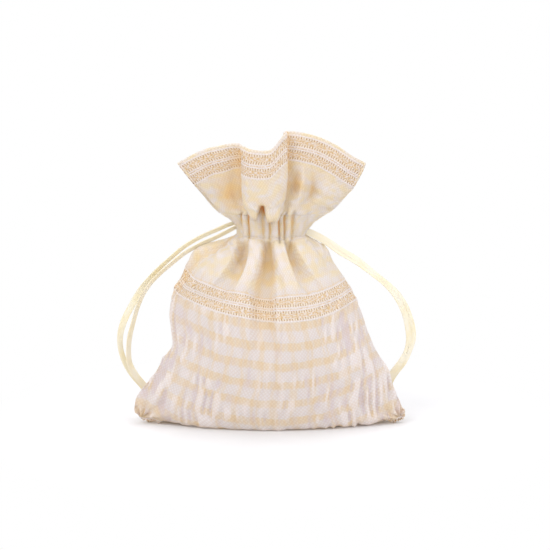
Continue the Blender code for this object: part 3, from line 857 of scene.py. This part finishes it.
def make_side(face, material):
    """One side of the pouch in a single cloth, from the bottom seam round to its end under the channel."""
    word = FACE_WORD[face]
    share = column_shares()
    wall, wall_base, wall_down, wall_cavity, wall_crease, relief = outer_wall(face, share)
    frill, frill_down, frill_cavity = frill_walls(face, share, relief)
    lining, lining_down, lining_cavity = inner_wall(face, share, relief)
    points = np.concatenate([wall, frill, lining])
    smooth = np.concatenate([wall_base, frill, lining])
    uv = uv_of(smooth, np.concatenate([wall_down, frill_down, lining_down]))
    plain = np.full((len(points) - len(wall), COLUMNS), PLAIN_CREASE)
    fields = {
        "cavity": np.concatenate([wall_cavity, frill_cavity, lining_cavity]),
        "crease": np.concatenate([wall_crease, plain]),
    }
    made = grid_mesh(f"{word}_cloth", points, material, uv, fields)
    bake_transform(made)
    nodes = ("panel", "casing", "channel_lining", "frill", "frill_lining")
    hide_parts(*(f"{word}_{node}" for node in nodes))
    return wall


# ---------------------------------------------------------------- material nodes


class Nodes:
    """Short names for the nodes that the materials and the background use."""

    def __init__(self, owner, shader="Principled BSDF", output="Material Output"):
        owner.use_nodes = True
        self.owner = owner
        self.tree = owner.node_tree
        self.shader = self.tree.nodes[shader]
        self.output = self.tree.nodes[output]

    def put(self, socket, value):
        if isinstance(value, bpy.types.NodeSocket):
            self.tree.links.new(value, socket)
        elif isinstance(value, tuple) and len(value) == 3 and socket.type == "RGBA":
            socket.default_value = (*value, 1.0)
        else:
            socket.default_value = value

    def finish(self, **inputs):
        """Sets the shader's inputs by name, with _ for a space."""
        for name, value in inputs.items():
            self.put(self.shader.inputs[name.replace("_", " ")], value)
        return self.owner

    def node(self, kind, **settings):
        made = self.tree.nodes.new(kind)
        for key, value in settings.items():
            setattr(made, key, value)
        return made

    def math(self, operation, first, second=0.0, third=0.0):
        made = self.node("ShaderNodeMath", operation=operation)
        for socket, value in zip(made.inputs, (first, second, third)):
            self.put(socket, value)
        return made.outputs[0]

    def times(self, first, second):
        return self.math("MULTIPLY", first, second)

    def plus(self, first, second):
        return self.math("ADD", first, second)

    def minus(self, first, second):
        return self.math("SUBTRACT", first, second)

    def scaled(self, value, by, plus):
        return self.math("MULTIPLY_ADD", value, by, plus)

    def larger(self, first, second):
        return self.math("MAXIMUM", first, second)

    def within(self, value, period):
        """How far the value is past the last whole period."""
        return self.math("FLOORED_MODULO", value, period)

    def mix(self, share, first, second, way="MIX"):
        made = self.node("ShaderNodeMix", data_type="RGBA", blend_type=way)
        self.put(made.inputs["Factor"], share)
        self.put(made.inputs[6], first)
        self.put(made.inputs[7], second)
        return made.outputs[2]

    def tint(self, share, colour, by):
        """The colour times another one, by that share."""
        return self.mix(share, colour, by, "MULTIPLY")

    def ramp(self, value, low, high):
        """0 at low and 1 at high, smoothly."""
        made = self.node("ShaderNodeMapRange", interpolation_type="SMOOTHSTEP")
        for name, number in (("Value", value), ("From Min", low), ("From Max", high)):
            self.put(made.inputs[name], number)
        return made.outputs[0]

    def between(self, value, low, high, soft):
        """1 between low and high, with soft edges."""
        past_low = self.ramp(value, low - soft, low + soft)
        return self.minus(past_low, self.ramp(value, high - soft, high + soft))

    def noise(self, scale, detail, x, y):
        """A random field over the cloth, from 0 to 1."""
        made = self.node("ShaderNodeTexNoise")
        spot = self.node("ShaderNodeCombineXYZ")
        self.put(spot.inputs[0], x)
        self.put(spot.inputs[1], y)
        for name, value in (("Scale", scale), ("Detail", detail), ("Vector", spot.outputs[0])):
            self.put(made.inputs[name], value)
        return made.outputs[0]

    def apart(self, vector):
        made = self.node("ShaderNodeSeparateXYZ")
        self.put(made.inputs[0], vector)
        return made.outputs[0], made.outputs[1]

    def cloth(self):
        """Cloth coordinates across and down, in millimetres."""
        across, down = self.apart(self.node("ShaderNodeUVMap", uv_map="cloth").outputs[0])
        return self.times(across, 100), self.times(down, 100)

    def attribute(self, name):
        return self.node("ShaderNodeAttribute", attribute_name=name).outputs["Fac"]

    def bump(self, height, strength, distance):
        made = self.node("ShaderNodeBump")
        self.put(made.inputs["Height"], height)
        self.put(made.inputs["Strength"], strength)
        self.put(made.inputs["Distance"], distance)
        self.put(self.shader.inputs["Normal"], made.outputs[0])
        return made.outputs[0]

    def wave(self, value, period):
        """A sine of the value, from 0 to 1."""
        return self.scaled(self.math("SINE", self.times(value, 2 * math.pi / period)), 0.5, 0.5)

    def cover(self, share, second):
        """Shows another shader in place of the first one, by that share."""
        both = self.node("ShaderNodeMixShader")
        self.put(both.inputs[0], share)
        self.put(both.inputs[1], self.shader.outputs[0])
        self.put(both.inputs[2], second.outputs[0])
        self.put(self.output.inputs[0], both.outputs[0])

    def let_through(self, share, colour, normal):
        """Lets a share of the light through, in that colour."""
        thin = self.node("ShaderNodeBsdfTranslucent")
        self.put(thin.inputs["Color"], colour)
        self.put(thin.inputs["Normal"], normal)
        self.cover(share, thin)

    def shown_white(self, share, kind):
        """Turns a share of it to plain white where it is seen. It still takes and gives light as before."""
        path = self.node("ShaderNodeLightPath").outputs
        seen = self.larger(path["Is Camera Ray"], path["Is Glossy Ray"])
        seen = self.larger(seen, path["Is Transmission Ray"])
        white = self.node(kind)
        self.put(white.inputs["Color"], (1.0, 1.0, 1.0))
        self.put(white.inputs["Strength"], 1.0)
        self.cover(self.times(seen, share), white)


def material_nodes(name):
    return Nodes(bpy.data.materials.new(name))


def srgb(red, green, blue):
    """A colour as it is seen, from 0 to 255, as the linear values that a shader takes."""
    shares = [value / 255 for value in (red, green, blue)]
    return tuple(s / 12.92 if s <= 0.04045 else ((s + 0.055) / 1.055) ** 2.4 for s in shares)


WHITE = srgb(241, 237, 238)
UPPER_WHITE = srgb(250, 248, 247)
CREAM = srgb(240, 223, 194)
DEEP_CREAM = srgb(238, 216, 180)
YELLOW_CREAM = srgb(250, 236, 196)
GOLD = srgb(240, 216, 168)
DARK_GOLD = srgb(222, 188, 132)
TICK = srgb(182, 134, 84)
LADDER_GAP = srgb(255, 247, 226)
GLINT_BRIGHT = srgb(255, 252, 242)
# White thread, also the painted highlight on the crinkles' crests and the gold band's glints
WHITE_THREAD_AND_HIGHLIGHT = srgb(254, 250, 252)
# Painted lilac shade in the dips of the crinkles
CRINKLE_SHADE_LILAC = srgb(229, 220, 229)
HOLLOW_TINT = srgb(255, 236, 198)
DEEP_HOLLOW_TINT = srgb(252, 190, 124)


def check_colour(n, across, down):
    """Cream rows and columns on white, fainter near the sides, with yellow patches above the body's band."""
    wander = n.scaled(n.noise(0.16, 3, across, down), 2.6, -1.3)
    row = n.within(n.minus(n.plus(down, wander), BAND_START), BAND_REPEAT)
    cream_row = n.between(n.within(n.minus(row, BAND_WIDTH), CHECK_ROW), 0.0, CHECK_ROW_CREAM, 0.7)
    cream_column = n.between(n.within(n.plus(across, wander), CHECK_COLUMN), *CHECK_COLUMN_CREAM, 0.8)
    from_middle = n.math("ABSOLUTE", n.minus(across, PANEL_WIDTH / 2))
    washed = n.ramp(from_middle, PANEL_WIDTH * 0.42, PANEL_WIDTH * 0.26)
    streak = n.ramp(n.noise(1.0, 2.0, n.times(across, 0.55), n.times(down, 0.10)), 0.30, 0.62)
    colour = n.mix(n.times(n.times(cream_column, 0.55), streak), WHITE, CREAM)
    rows = n.mix(n.times(cream_column, 0.75), CREAM, DEEP_CREAM)
    strong = n.times(n.scaled(streak, 0.45, 0.45), n.scaled(washed, 0.3, 0.7))
    colour = n.mix(n.times(cream_row, strong), colour, rows)
    upper = n.ramp(down, BAND_START, BAND_START - 6)
    colour = n.mix(n.times(upper, 0.55), colour, UPPER_WHITE)
    blotch = n.ramp(n.noise(0.15, 1, across, n.times(down, 1.7)), 0.34, 0.68)
    colour = n.mix(n.times(n.times(upper, blotch), 0.70), colour, YELLOW_CREAM)
    corner = n.times(n.ramp(down, 92, 106), n.ramp(from_middle, 36, 56))
    return n.mix(n.times(corner, 0.75), colour, GOLD)


def band_ticks(n, across, down):
    """Short upright stitches of dark thread, a little uneven."""
    shake = n.times(n.noise(0.8, 1, across, down), 0.3)
    tick = n.within(n.plus(across, shake), TICK_PITCH)
    return n.between(tick, 0.1, 0.1 + TICK_PITCH * 0.42, 0.10)


def band_cords(n, across, depth):
    """The white cords that edge the gold band and part its two stripes, a little beaded."""
    beaded = n.plus(depth, n.scaled(n.noise(1.6, 1, across, 0.0), 0.7, -0.35))
    cords = n.between(beaded, *BAND_CORDS[0], 0.12)
    for low, high in BAND_CORDS[1:]:
        cords = n.larger(cords, n.between(beaded, low, high, 0.12))
    return cords


def gold_colour(n, across, down, depth, ticks, sparkle):
    """Gold thread with bright glints, laddered by the ticks along the edges of both stripes."""
    stripe = n.math("PINGPONG", n.minus(depth, BAND_WIDTH / 2), BAND_WIDTH / 2)
    ladder = n.larger(n.between(stripe, 0.8, 2.0, 0.2), n.between(stripe, 4.2, 5.4, 0.2))
    fine = n.noise(3.1, 1.0, across, n.times(down, 1.6))
    gold = n.mix(n.ramp(fine, 0.36, 0.58), DARK_GOLD, GOLD)
    gold = n.mix(n.times(ticks, n.scaled(ladder, 0.80, 0.15)), gold, TICK)
    gaps = n.times(n.minus(1.0, ticks), ladder)
    gold = n.mix(n.times(gaps, 0.9), gold, LADDER_GAP)
    # painted highlights on the gold thread: bright flecks and white glints
    gold = n.mix(n.times(n.ramp(fine, 0.57, 0.68), 0.6), gold, GLINT_BRIGHT)
    glint = n.times(n.ramp(sparkle, 0.47, 0.54), n.scaled(ladder, -0.4, 0.85))
    return n.mix(glint, gold, WHITE_THREAD_AND_HIGHLIGHT)


def gingham_material():
    """Loose seersucker gingham of white and cream yarn, with bands of gold thread between white cords."""
    n = material_nodes("gingham_weave")
    across, down = n.cloth()
    depth = n.within(n.minus(down, BAND_START), BAND_REPEAT)
    in_band = n.between(depth, 0.1, BAND_WIDTH - 0.1, 0.1)
    ticks = band_ticks(n, across, down)
    cords = band_cords(n, across, depth)
    sparkle = n.noise(1.0, 1.0, n.times(across, 0.6), n.times(down, 2.4))
    gold = gold_colour(n, across, down, depth, ticks, sparkle)
    colour = n.mix(in_band, check_colour(n, across, down), gold)
    colour = n.mix(n.times(cords, 0.95), colour, WHITE_THREAD_AND_HIGHLIGHT)
    # crinkles: painted lilac shade in their dips and a painted white highlight on their crests
    crease = n.attribute("crease")
    plain = n.minus(0.7, in_band)
    colour = n.mix(n.times(n.ramp(crease, 0.50, 1.0), plain), colour, CRINKLE_SHADE_LILAC)
    colour = n.mix(n.times(n.ramp(crease, 0.36, 0.05), plain), colour, WHITE_THREAD_AND_HIGHLIGHT)
    # yarns and grain
    twill = n.wave(n.plus(across, down), TWILL_PERIOD)
    dash = n.times(n.wave(n.minus(across, down), COUNTER_TWILL_PERIOD), twill)
    grain = n.noise(2.2, 2, across, down)
    tone = n.scaled(dash, 0.7, n.times(grain, 0.7))
    colour = n.mix(n.times(n.ramp(tone, 0.70, 0.35), 0.70), colour, n.mix(0.22, colour, TICK))
    # light that is lost in hollows comes back warm from the cloth around them
    cavity = n.attribute("cavity")
    colour = n.tint(n.ramp(cavity, 0.08, 0.75), colour, HOLLOW_TINT)
    colour = n.tint(n.ramp(cavity, 0.55, 1.05), colour, DEEP_HOLLOW_TINT)
    shine = n.times(in_band, n.ramp(sparkle, 0.5, 0.6))
    threads = n.times(n.wave(across, THREAD_PERIOD), n.wave(down, THREAD_PERIOD))
    slubs = n.noise(0.7, 3, across, n.times(down, 0.35))
    height = n.plus(n.times(threads, 0.4), n.times(twill, 0.5))
    for part, strength in ((cords, 1.6), (n.times(ticks, in_band), 0.8), (slubs, 2.2)):
        height = n.scaled(part, strength, height)
    normal = n.bump(height, 0.5, CLOTH_RELIEF)
    n.let_through(CLOTH_THINNESS, n.mix(0.20, colour, srgb(255, 240, 205)), normal)
    return n.finish(
        Base_Color=colour, Roughness=n.scaled(shine, -0.35, 0.85), Metallic=n.times(shine, 0.25),
        Sheen_Weight=0.15, Sheen_Roughness=0.5,
    )


def satin_material():
    """Narrow satin ribbon with fine lengthwise threads and a firm edge."""
    n = material_nodes("satin_weave")
    across, along_it = n.cloth()
    thread = n.wave(across, 0.25)
    patch = n.noise(0.35, 2, n.times(across, 2.0), n.times(along_it, 0.3))
    colour = n.mix(n.ramp(patch, 0.35, 0.70), srgb(254, 250, 236), srgb(252, 243, 214))
    colour = n.mix(n.times(thread, 0.15), colour, srgb(255, 253, 246))
    side = n.within(across, RIBBON_WIDTH)
    edge = n.larger(n.ramp(side, 0.32, 0.14), n.ramp(side, RIBBON_WIDTH - 0.32, RIBBON_WIDTH - 0.14))
    colour = n.mix(n.times(edge, 0.25), colour, srgb(240, 228, 190))
    height = n.plus(n.times(thread, 0.4), edge)
    ribs = n.times(n.wave(along_it, 0.5), 0.15)
    normal = n.bump(n.plus(height, ribs), 0.15, RIBBON_RELIEF)
    n.let_through(RIBBON_THINNESS, n.mix(0.5, colour, srgb(240, 222, 150)), normal)
    return n.finish(Base_Color=colour, Roughness=n.scaled(patch, 0.15, 0.60), Sheen_Weight=0.2)


def thread_material():
    """Twisted sewing thread."""
    n = material_nodes("sewing_thread_twist")
    across, along_it = n.cloth()
    twist = n.wave(n.scaled(across, 0.6, along_it), 0.45)
    fuzz = n.noise(3.0, 3, across, along_it)
    shade = n.mix(n.times(twist, 0.25), srgb(250, 242, 228), srgb(226, 206, 170))
    n.bump(n.plus(twist, fuzz), 0.5, 0.00012)
    colour = n.mix(n.ramp(fuzz, 0.4, 0.8), shade, WHITE_THREAD_AND_HIGHLIGHT)
    return n.finish(Base_Color=colour, Roughness=n.scaled(fuzz, 0.3, 0.55))


def overlock_material():
    """Raw cloth edge under a close zigzag of thread."""
    n = material_nodes("overlock_weave")
    across, deep = n.cloth()
    loops = n.wave(across, 1.1)
    rows = n.wave(n.plus(deep, n.times(loops, 0.4)), 1.6)
    zigzag = n.times(loops, rows)
    fuzz = n.noise(2.0, 3, across, deep)
    n.bump(n.plus(zigzag, fuzz), 0.6, 0.0003)
    colour = n.mix(zigzag, srgb(236, 220, 188), srgb(250, 243, 230))
    colour = n.mix(n.ramp(fuzz, 0.4, 0.8), colour, CREAM)
    return n.finish(Base_Color=colour, Roughness=n.scaled(fuzz, 0.2, 0.7))


def floor_material():
    """A white table that keeps the pouch's shadow and runs out to plain white."""
    n = material_nodes("pale_table")
    x, y = n.apart(n.node("ShaderNodeNewGeometry").outputs["Position"])
    shares = [n.math("DIVIDE", at, reach) for at, reach in zip((x, y), SHADOW_REACH)]
    far = n.math("SQRT", n.plus(*(n.math("POWER", share, 2.0) for share in shares)))
    n.shown_white(n.ramp(far, 0.55, 1.25), "ShaderNodeEmission")
    mottle = n.noise(40.0, 2, x, y)
    colour = n.mix(n.ramp(mottle, 0.3, 0.7), (0.81, 0.81, 0.82), (0.83, 0.83, 0.84))
    return n.finish(Base_Color=colour, Roughness=n.scaled(mottle, 0.1, 0.8), Specular_IOR_Level=0.1)


# ---------------------------------------------------------------- ribbons, knots, stitches


def ribbon_profile(width=RIBBON_WIDTH, thickness=RIBBON_THICKNESS):
    """The ribbon's cross section, flat with rounded edges, as a closed list of (across, out)."""
    half, flat = width / 2, thickness / 2
    lower = [(-1, 0), (-0.94, -1), (-0.4, -0.8), (0.4, -0.8), (0.94, -1)]
    return [(side * half * x, side * flat * y) for side in (1, -1) for x, y in lower]


def sampled(stations, step):
    """Evenly spread points over a smooth curve through (value, ...) stations, keyed by length."""
    spots = np.array(stations, float)
    keys = np.concatenate([[0], np.cumsum(np.linalg.norm(np.diff(spots[:, :3], axis=0), axis=1))])
    keyed = [(key, *spot) for key, spot in zip(keys, spots)]
    count = int(round(keys[-1] / step)) + 1
    return along(keyed, np.linspace(0, keys[-1], count))


def make_strand(name, stations, body, node, material):
    """One free strand of ribbon from its slot to its knot."""
    spots = sampled(stations, STRAND_STEP)
    path, turn = spots[:, :3], np.radians(spots[:, 3])
    tangent = unit(np.gradient(path, axis=0))
    facing = unit(np.cross(tangent, [0.0, 1.0, 0.0]))
    edge_on = np.cross(facing, tangent)
    sideways = facing * np.cos(turn)[:, None] + edge_on * np.sin(turn)[:, None]
    made = tube_mesh(name, path, sideways, ribbon_profile(), material)
    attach(made, body)
    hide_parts(node)


def join(name, pieces):
    """Makes one piece of several meshes with the same material."""
    bpy.context.view_layer.update()
    bpy.ops.object.select_all(action="DESELECT")
    for piece in pieces:
        piece.select_set(True)
    bpy.context.view_layer.objects.active = pieces[0]
    bpy.ops.object.join()
    pieces[0].name = name
    return pieces[0]


def rings_round(centres, radii, over, aside):
    """Rings of points round each centre, a little flattened."""
    angles = np.linspace(0, 2 * np.pi, 17)
    round_it = 0.9 * np.cos(angles)[:, None] * over + np.sin(angles)[:, None] * aside
    return centres[:, None, :] + np.asarray(radii)[:, None, None] * round_it


def knot_wrap(number, middle, axis, over, aside, material):
    """One turn of ribbon round the knot."""
    shift, radius, lean = KNOT_WRAPS[number]
    turns = np.linspace(0, 2 * np.pi, 37)[:, None]
    ring = middle + axis * (shift + lean * radius * np.sin(turns))
    ring = ring + over * np.cos(turns) * radius * 0.92 + aside * np.sin(turns) * radius
    width = np.broadcast_to(axis, ring.shape)
    return tube_mesh(f"wrap_{number}", ring, width, ribbon_profile(2.5, 0.6), material, caps=False)


def knot_tail(number, middle, axis, material):
    """A short end of ribbon that leaves the knot and comes down to the table."""
    start = middle + axis * 2.6
    heading = unit(axis * np.array([1, 1, 0]) + np.array([0, KNOT_SPREAD[number], 0]))
    reach = np.linspace(0, KNOT_TAIL, 16)
    height = 0.5 + (start[2] - 0.5) * near(reach, 0, 3.2) + 0.35 * np.sin(reach * 0.8 + number)
    tail = start[None, :] + heading[None, :] * reach[:, None]
    tail[:, 2] = np.maximum(height, 0.4)
    width = np.cross(heading, UP)
    width = np.broadcast_to(width, tail.shape) + np.array([0, 0, 0.25 - 0.5 * number])
    return tube_mesh(f"tail_{number}", tail, width, ribbon_profile(2.8), material)


def make_knot(side, material):
    """An overhand knot pulled tight, with the ribbon's two short ends beyond it."""
    word = SIDE_WORD[side]
    low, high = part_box(word + "_ribbon_knot")
    middle = np.array((low + high) / 2) / MM
    axis = unit(np.array([-side * 0.74, 0.20, -0.30]))
    over = unit(np.cross(axis, [0.0, 1.0, 0.0]))
    aside = np.cross(axis, over)
    pieces = [knot_wrap(number, middle, axis, over, aside, material) for number in range(3)]
    rows = len(KNOT_WAIST)
    core = middle + axis * np.linspace(-3.6, 3.6, rows)[:, None]
    core_uv = np.stack(np.meshgrid(np.linspace(0, 6, 17), np.linspace(0, 7.2, rows)), axis=-1)
    pieces.append(grid_mesh("core", rings_round(core, KNOT_WAIST, over, aside), material, core_uv))
    pieces += [knot_tail(number, middle, axis, material) for number in range(2)]
    made = join(word + "_knot", pieces)
    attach(made, word + "_loop")
    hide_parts(word + "_ribbon_knot")
    return made


def make_channel_run(side, material):
    """The ribbon's way round the inside of the channel, which draws out at its own slot."""
    word = SIDE_WORD[side]
    height = RUN_HEIGHT[side]
    angles = np.linspace(math.radians(16), math.radians(344), 90)
    wide, deep = NECK_HALF_WIDTH - RUN_INSET, NECK_HALF_DEPTH - RUN_INSET
    ring = [(side * wide * math.cos(a), deep * math.sin(a), height) for a in angles]
    lead = [(side * x, 0.7 + 0.5 * (RUN_LEADS[0] - x) / 2.2, height) for x in RUN_LEADS]
    back = [(x, -y, height) for x, y, _ in reversed(lead)]
    spots = sampled(lead + ring + back, STRAND_STEP)
    upright = np.broadcast_to(UP, spots.shape)
    made = tube_mesh(word + "_channel_run", spots, upright, ribbon_profile(2.7, 0.3), material)
    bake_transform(made)
    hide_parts(word + "_ribbon_channel_run")


def make_stitches(face, name, line, material):
    """A row of small stitches that lie on the cloth and dip into it."""
    line = line[6:-6]
    length = lengths(line[:, None, :], 0)[:, 0]
    angles = np.linspace(0, 2 * math.pi, 7)[:-1]
    around = [(STITCH_RADIUS * math.cos(a), STITCH_RADIUS * math.sin(a)) for a in angles]
    lift = 0.10 * np.array([-1.0, 0.4, 0.8, 0.4, -1.0])
    pieces = []
    for number in range(int(length[-1] / STITCH_PITCH)):
        reach = number * STITCH_PITCH + np.linspace(0, STITCH_LENGTH, len(lift))
        spots = np.stack([np.interp(reach, length, line[:, axis]) for axis in range(3)], axis=1)
        spots[:, 1] += face * lift
        upright = np.broadcast_to(UP, spots.shape)
        pieces.append(tube_mesh(f"stitch_{number}", spots, upright, around, material))
    made = join(f"{name}_stitches", pieces)
    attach(made, "pouch")
    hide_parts(f"{name}_stitching")


def make_seam(word, edge, material):
    """A seam allowance turned in and overlocked, from the seam's line towards the middle of the pouch."""
    upwards = np.broadcast_to(UP, edge.shape)
    inward = upwards if word == "bottom" else unit(-edge * np.array([1.0, 1.0, 0.0]))
    shares = np.linspace(0.12, 1.0, 12)
    length = lengths(edge[:, None, :], 0)[:, 0]
    wave = 0.12 * np.sin(length * 2 * np.pi / 1.4)
    ripple = np.array([0.0, 1.0, 0.0]) * wave[:, None]
    points = np.stack([edge + inward * (SEAM_ALLOWANCE * share) + ripple * share for share in shares])
    points[..., 2] = np.maximum(points[..., 2], 0.9)
    uv = np.stack(np.meshgrid(length, SEAM_ALLOWANCE * shares), axis=-1)
    made = grid_mesh(word + "_overlock", points, material, uv, None)
    thick = made.modifiers.new("thickness", "SOLIDIFY")
    thick.thickness = 0.6 * MM
    thick.offset = 0
    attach(made, "pouch")
    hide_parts(word + "_overlocked_seam")


# ---------------------------------------------------------------- stage


def make_camera():
    """The camera, in front of the pouch and a little above it."""
    data = bpy.data.cameras.new("photo_camera")
    data.sensor_width = SENSOR
    data.lens = SENSOR * VIEW_DISTANCE / VIEW_WIDTH
    data.clip_end = 20
    camera = put_in_scene("photo_camera", data)
    angle = math.radians(VIEW_ELEVATION)
    back = Vector((0, -math.cos(angle), math.sin(angle))) * VIEW_DISTANCE
    camera.location = (Vector(VIEW_MIDDLE) + back) * MM
    camera.rotation_euler = (math.pi / 2 - angle, 0, 0)
    bpy.context.scene.camera = camera


def make_lamp(name, place, size, power, colour):
    """A soft round lamp that shines on the pouch."""
    data = bpy.data.lights.new(name, "AREA")
    data.shape = "DISK"
    data.size = size
    data.energy = power
    data.color = colour
    lamp = put_in_scene(name, data)
    lamp.location = place
    aim = Vector(LAMP_AIM) - Vector(place)
    lamp.rotation_euler = aim.to_track_quat("-Z", "Y").to_euler()


def make_stage():
    """The table, the white studio around it and its lamps."""
    ends = (-TABLE_HALF, TABLE_HALF)
    table = grid_mesh("table_top", np.array([[(x, y, 0.0) for x in ends] for y in ends]), floor_material())
    studio = Nodes(bpy.data.worlds.new("studio"), "Background", "World Output")
    studio.shown_white(1.0, "ShaderNodeBackground")
    bpy.context.scene.world = studio.finish(Color=(0.97, 0.97, 1.0), Strength=STUDIO_LIGHT)
    for lamp in LAMPS:
        make_lamp(*lamp)
    bpy.context.scene.view_settings.view_transform = "Standard"


# ---------------------------------------------------------------- the pouch


def make_drawstrings(satin):
    """Both ribbons: free strands, knots and the way round the channel."""
    for side, word in SIDE_WORD.items():
        knot = make_knot(side, satin)
        for name, stations in STRANDS[side]:
            node = f"{word}_ribbon_{name}_strand"
            make_strand(f"{word}_{name}_strand", stations, word + "_loop", node, satin)
        make_channel_run(side, satin)


def make_cloth(gingham, thread):
    """Both sides of the pouch with their rows of stitches. Gives the lines of the three seams."""
    for face in (BACK, FRONT):
        wall = make_side(face, gingham)
        make_stitches(face, FACE_WORD[face] + "_lower", wall[BODY_ROWS], thread)
        make_stitches(face, FACE_WORD[face] + "_upper", wall[-2], thread)
    return {"left": wall[SIDE_SEAM, 0], "right": wall[SIDE_SEAM, -1], "bottom": wall[0, BOTTOM_SEAM]}


def main():
    make_camera()
    make_drawstrings(satin_material())
    seams = make_cloth(gingham_material(), thread_material())
    overlock = overlock_material()
    for word, edge in seams.items():
        make_seam(word, edge, overlock)
    make_stage()


main()
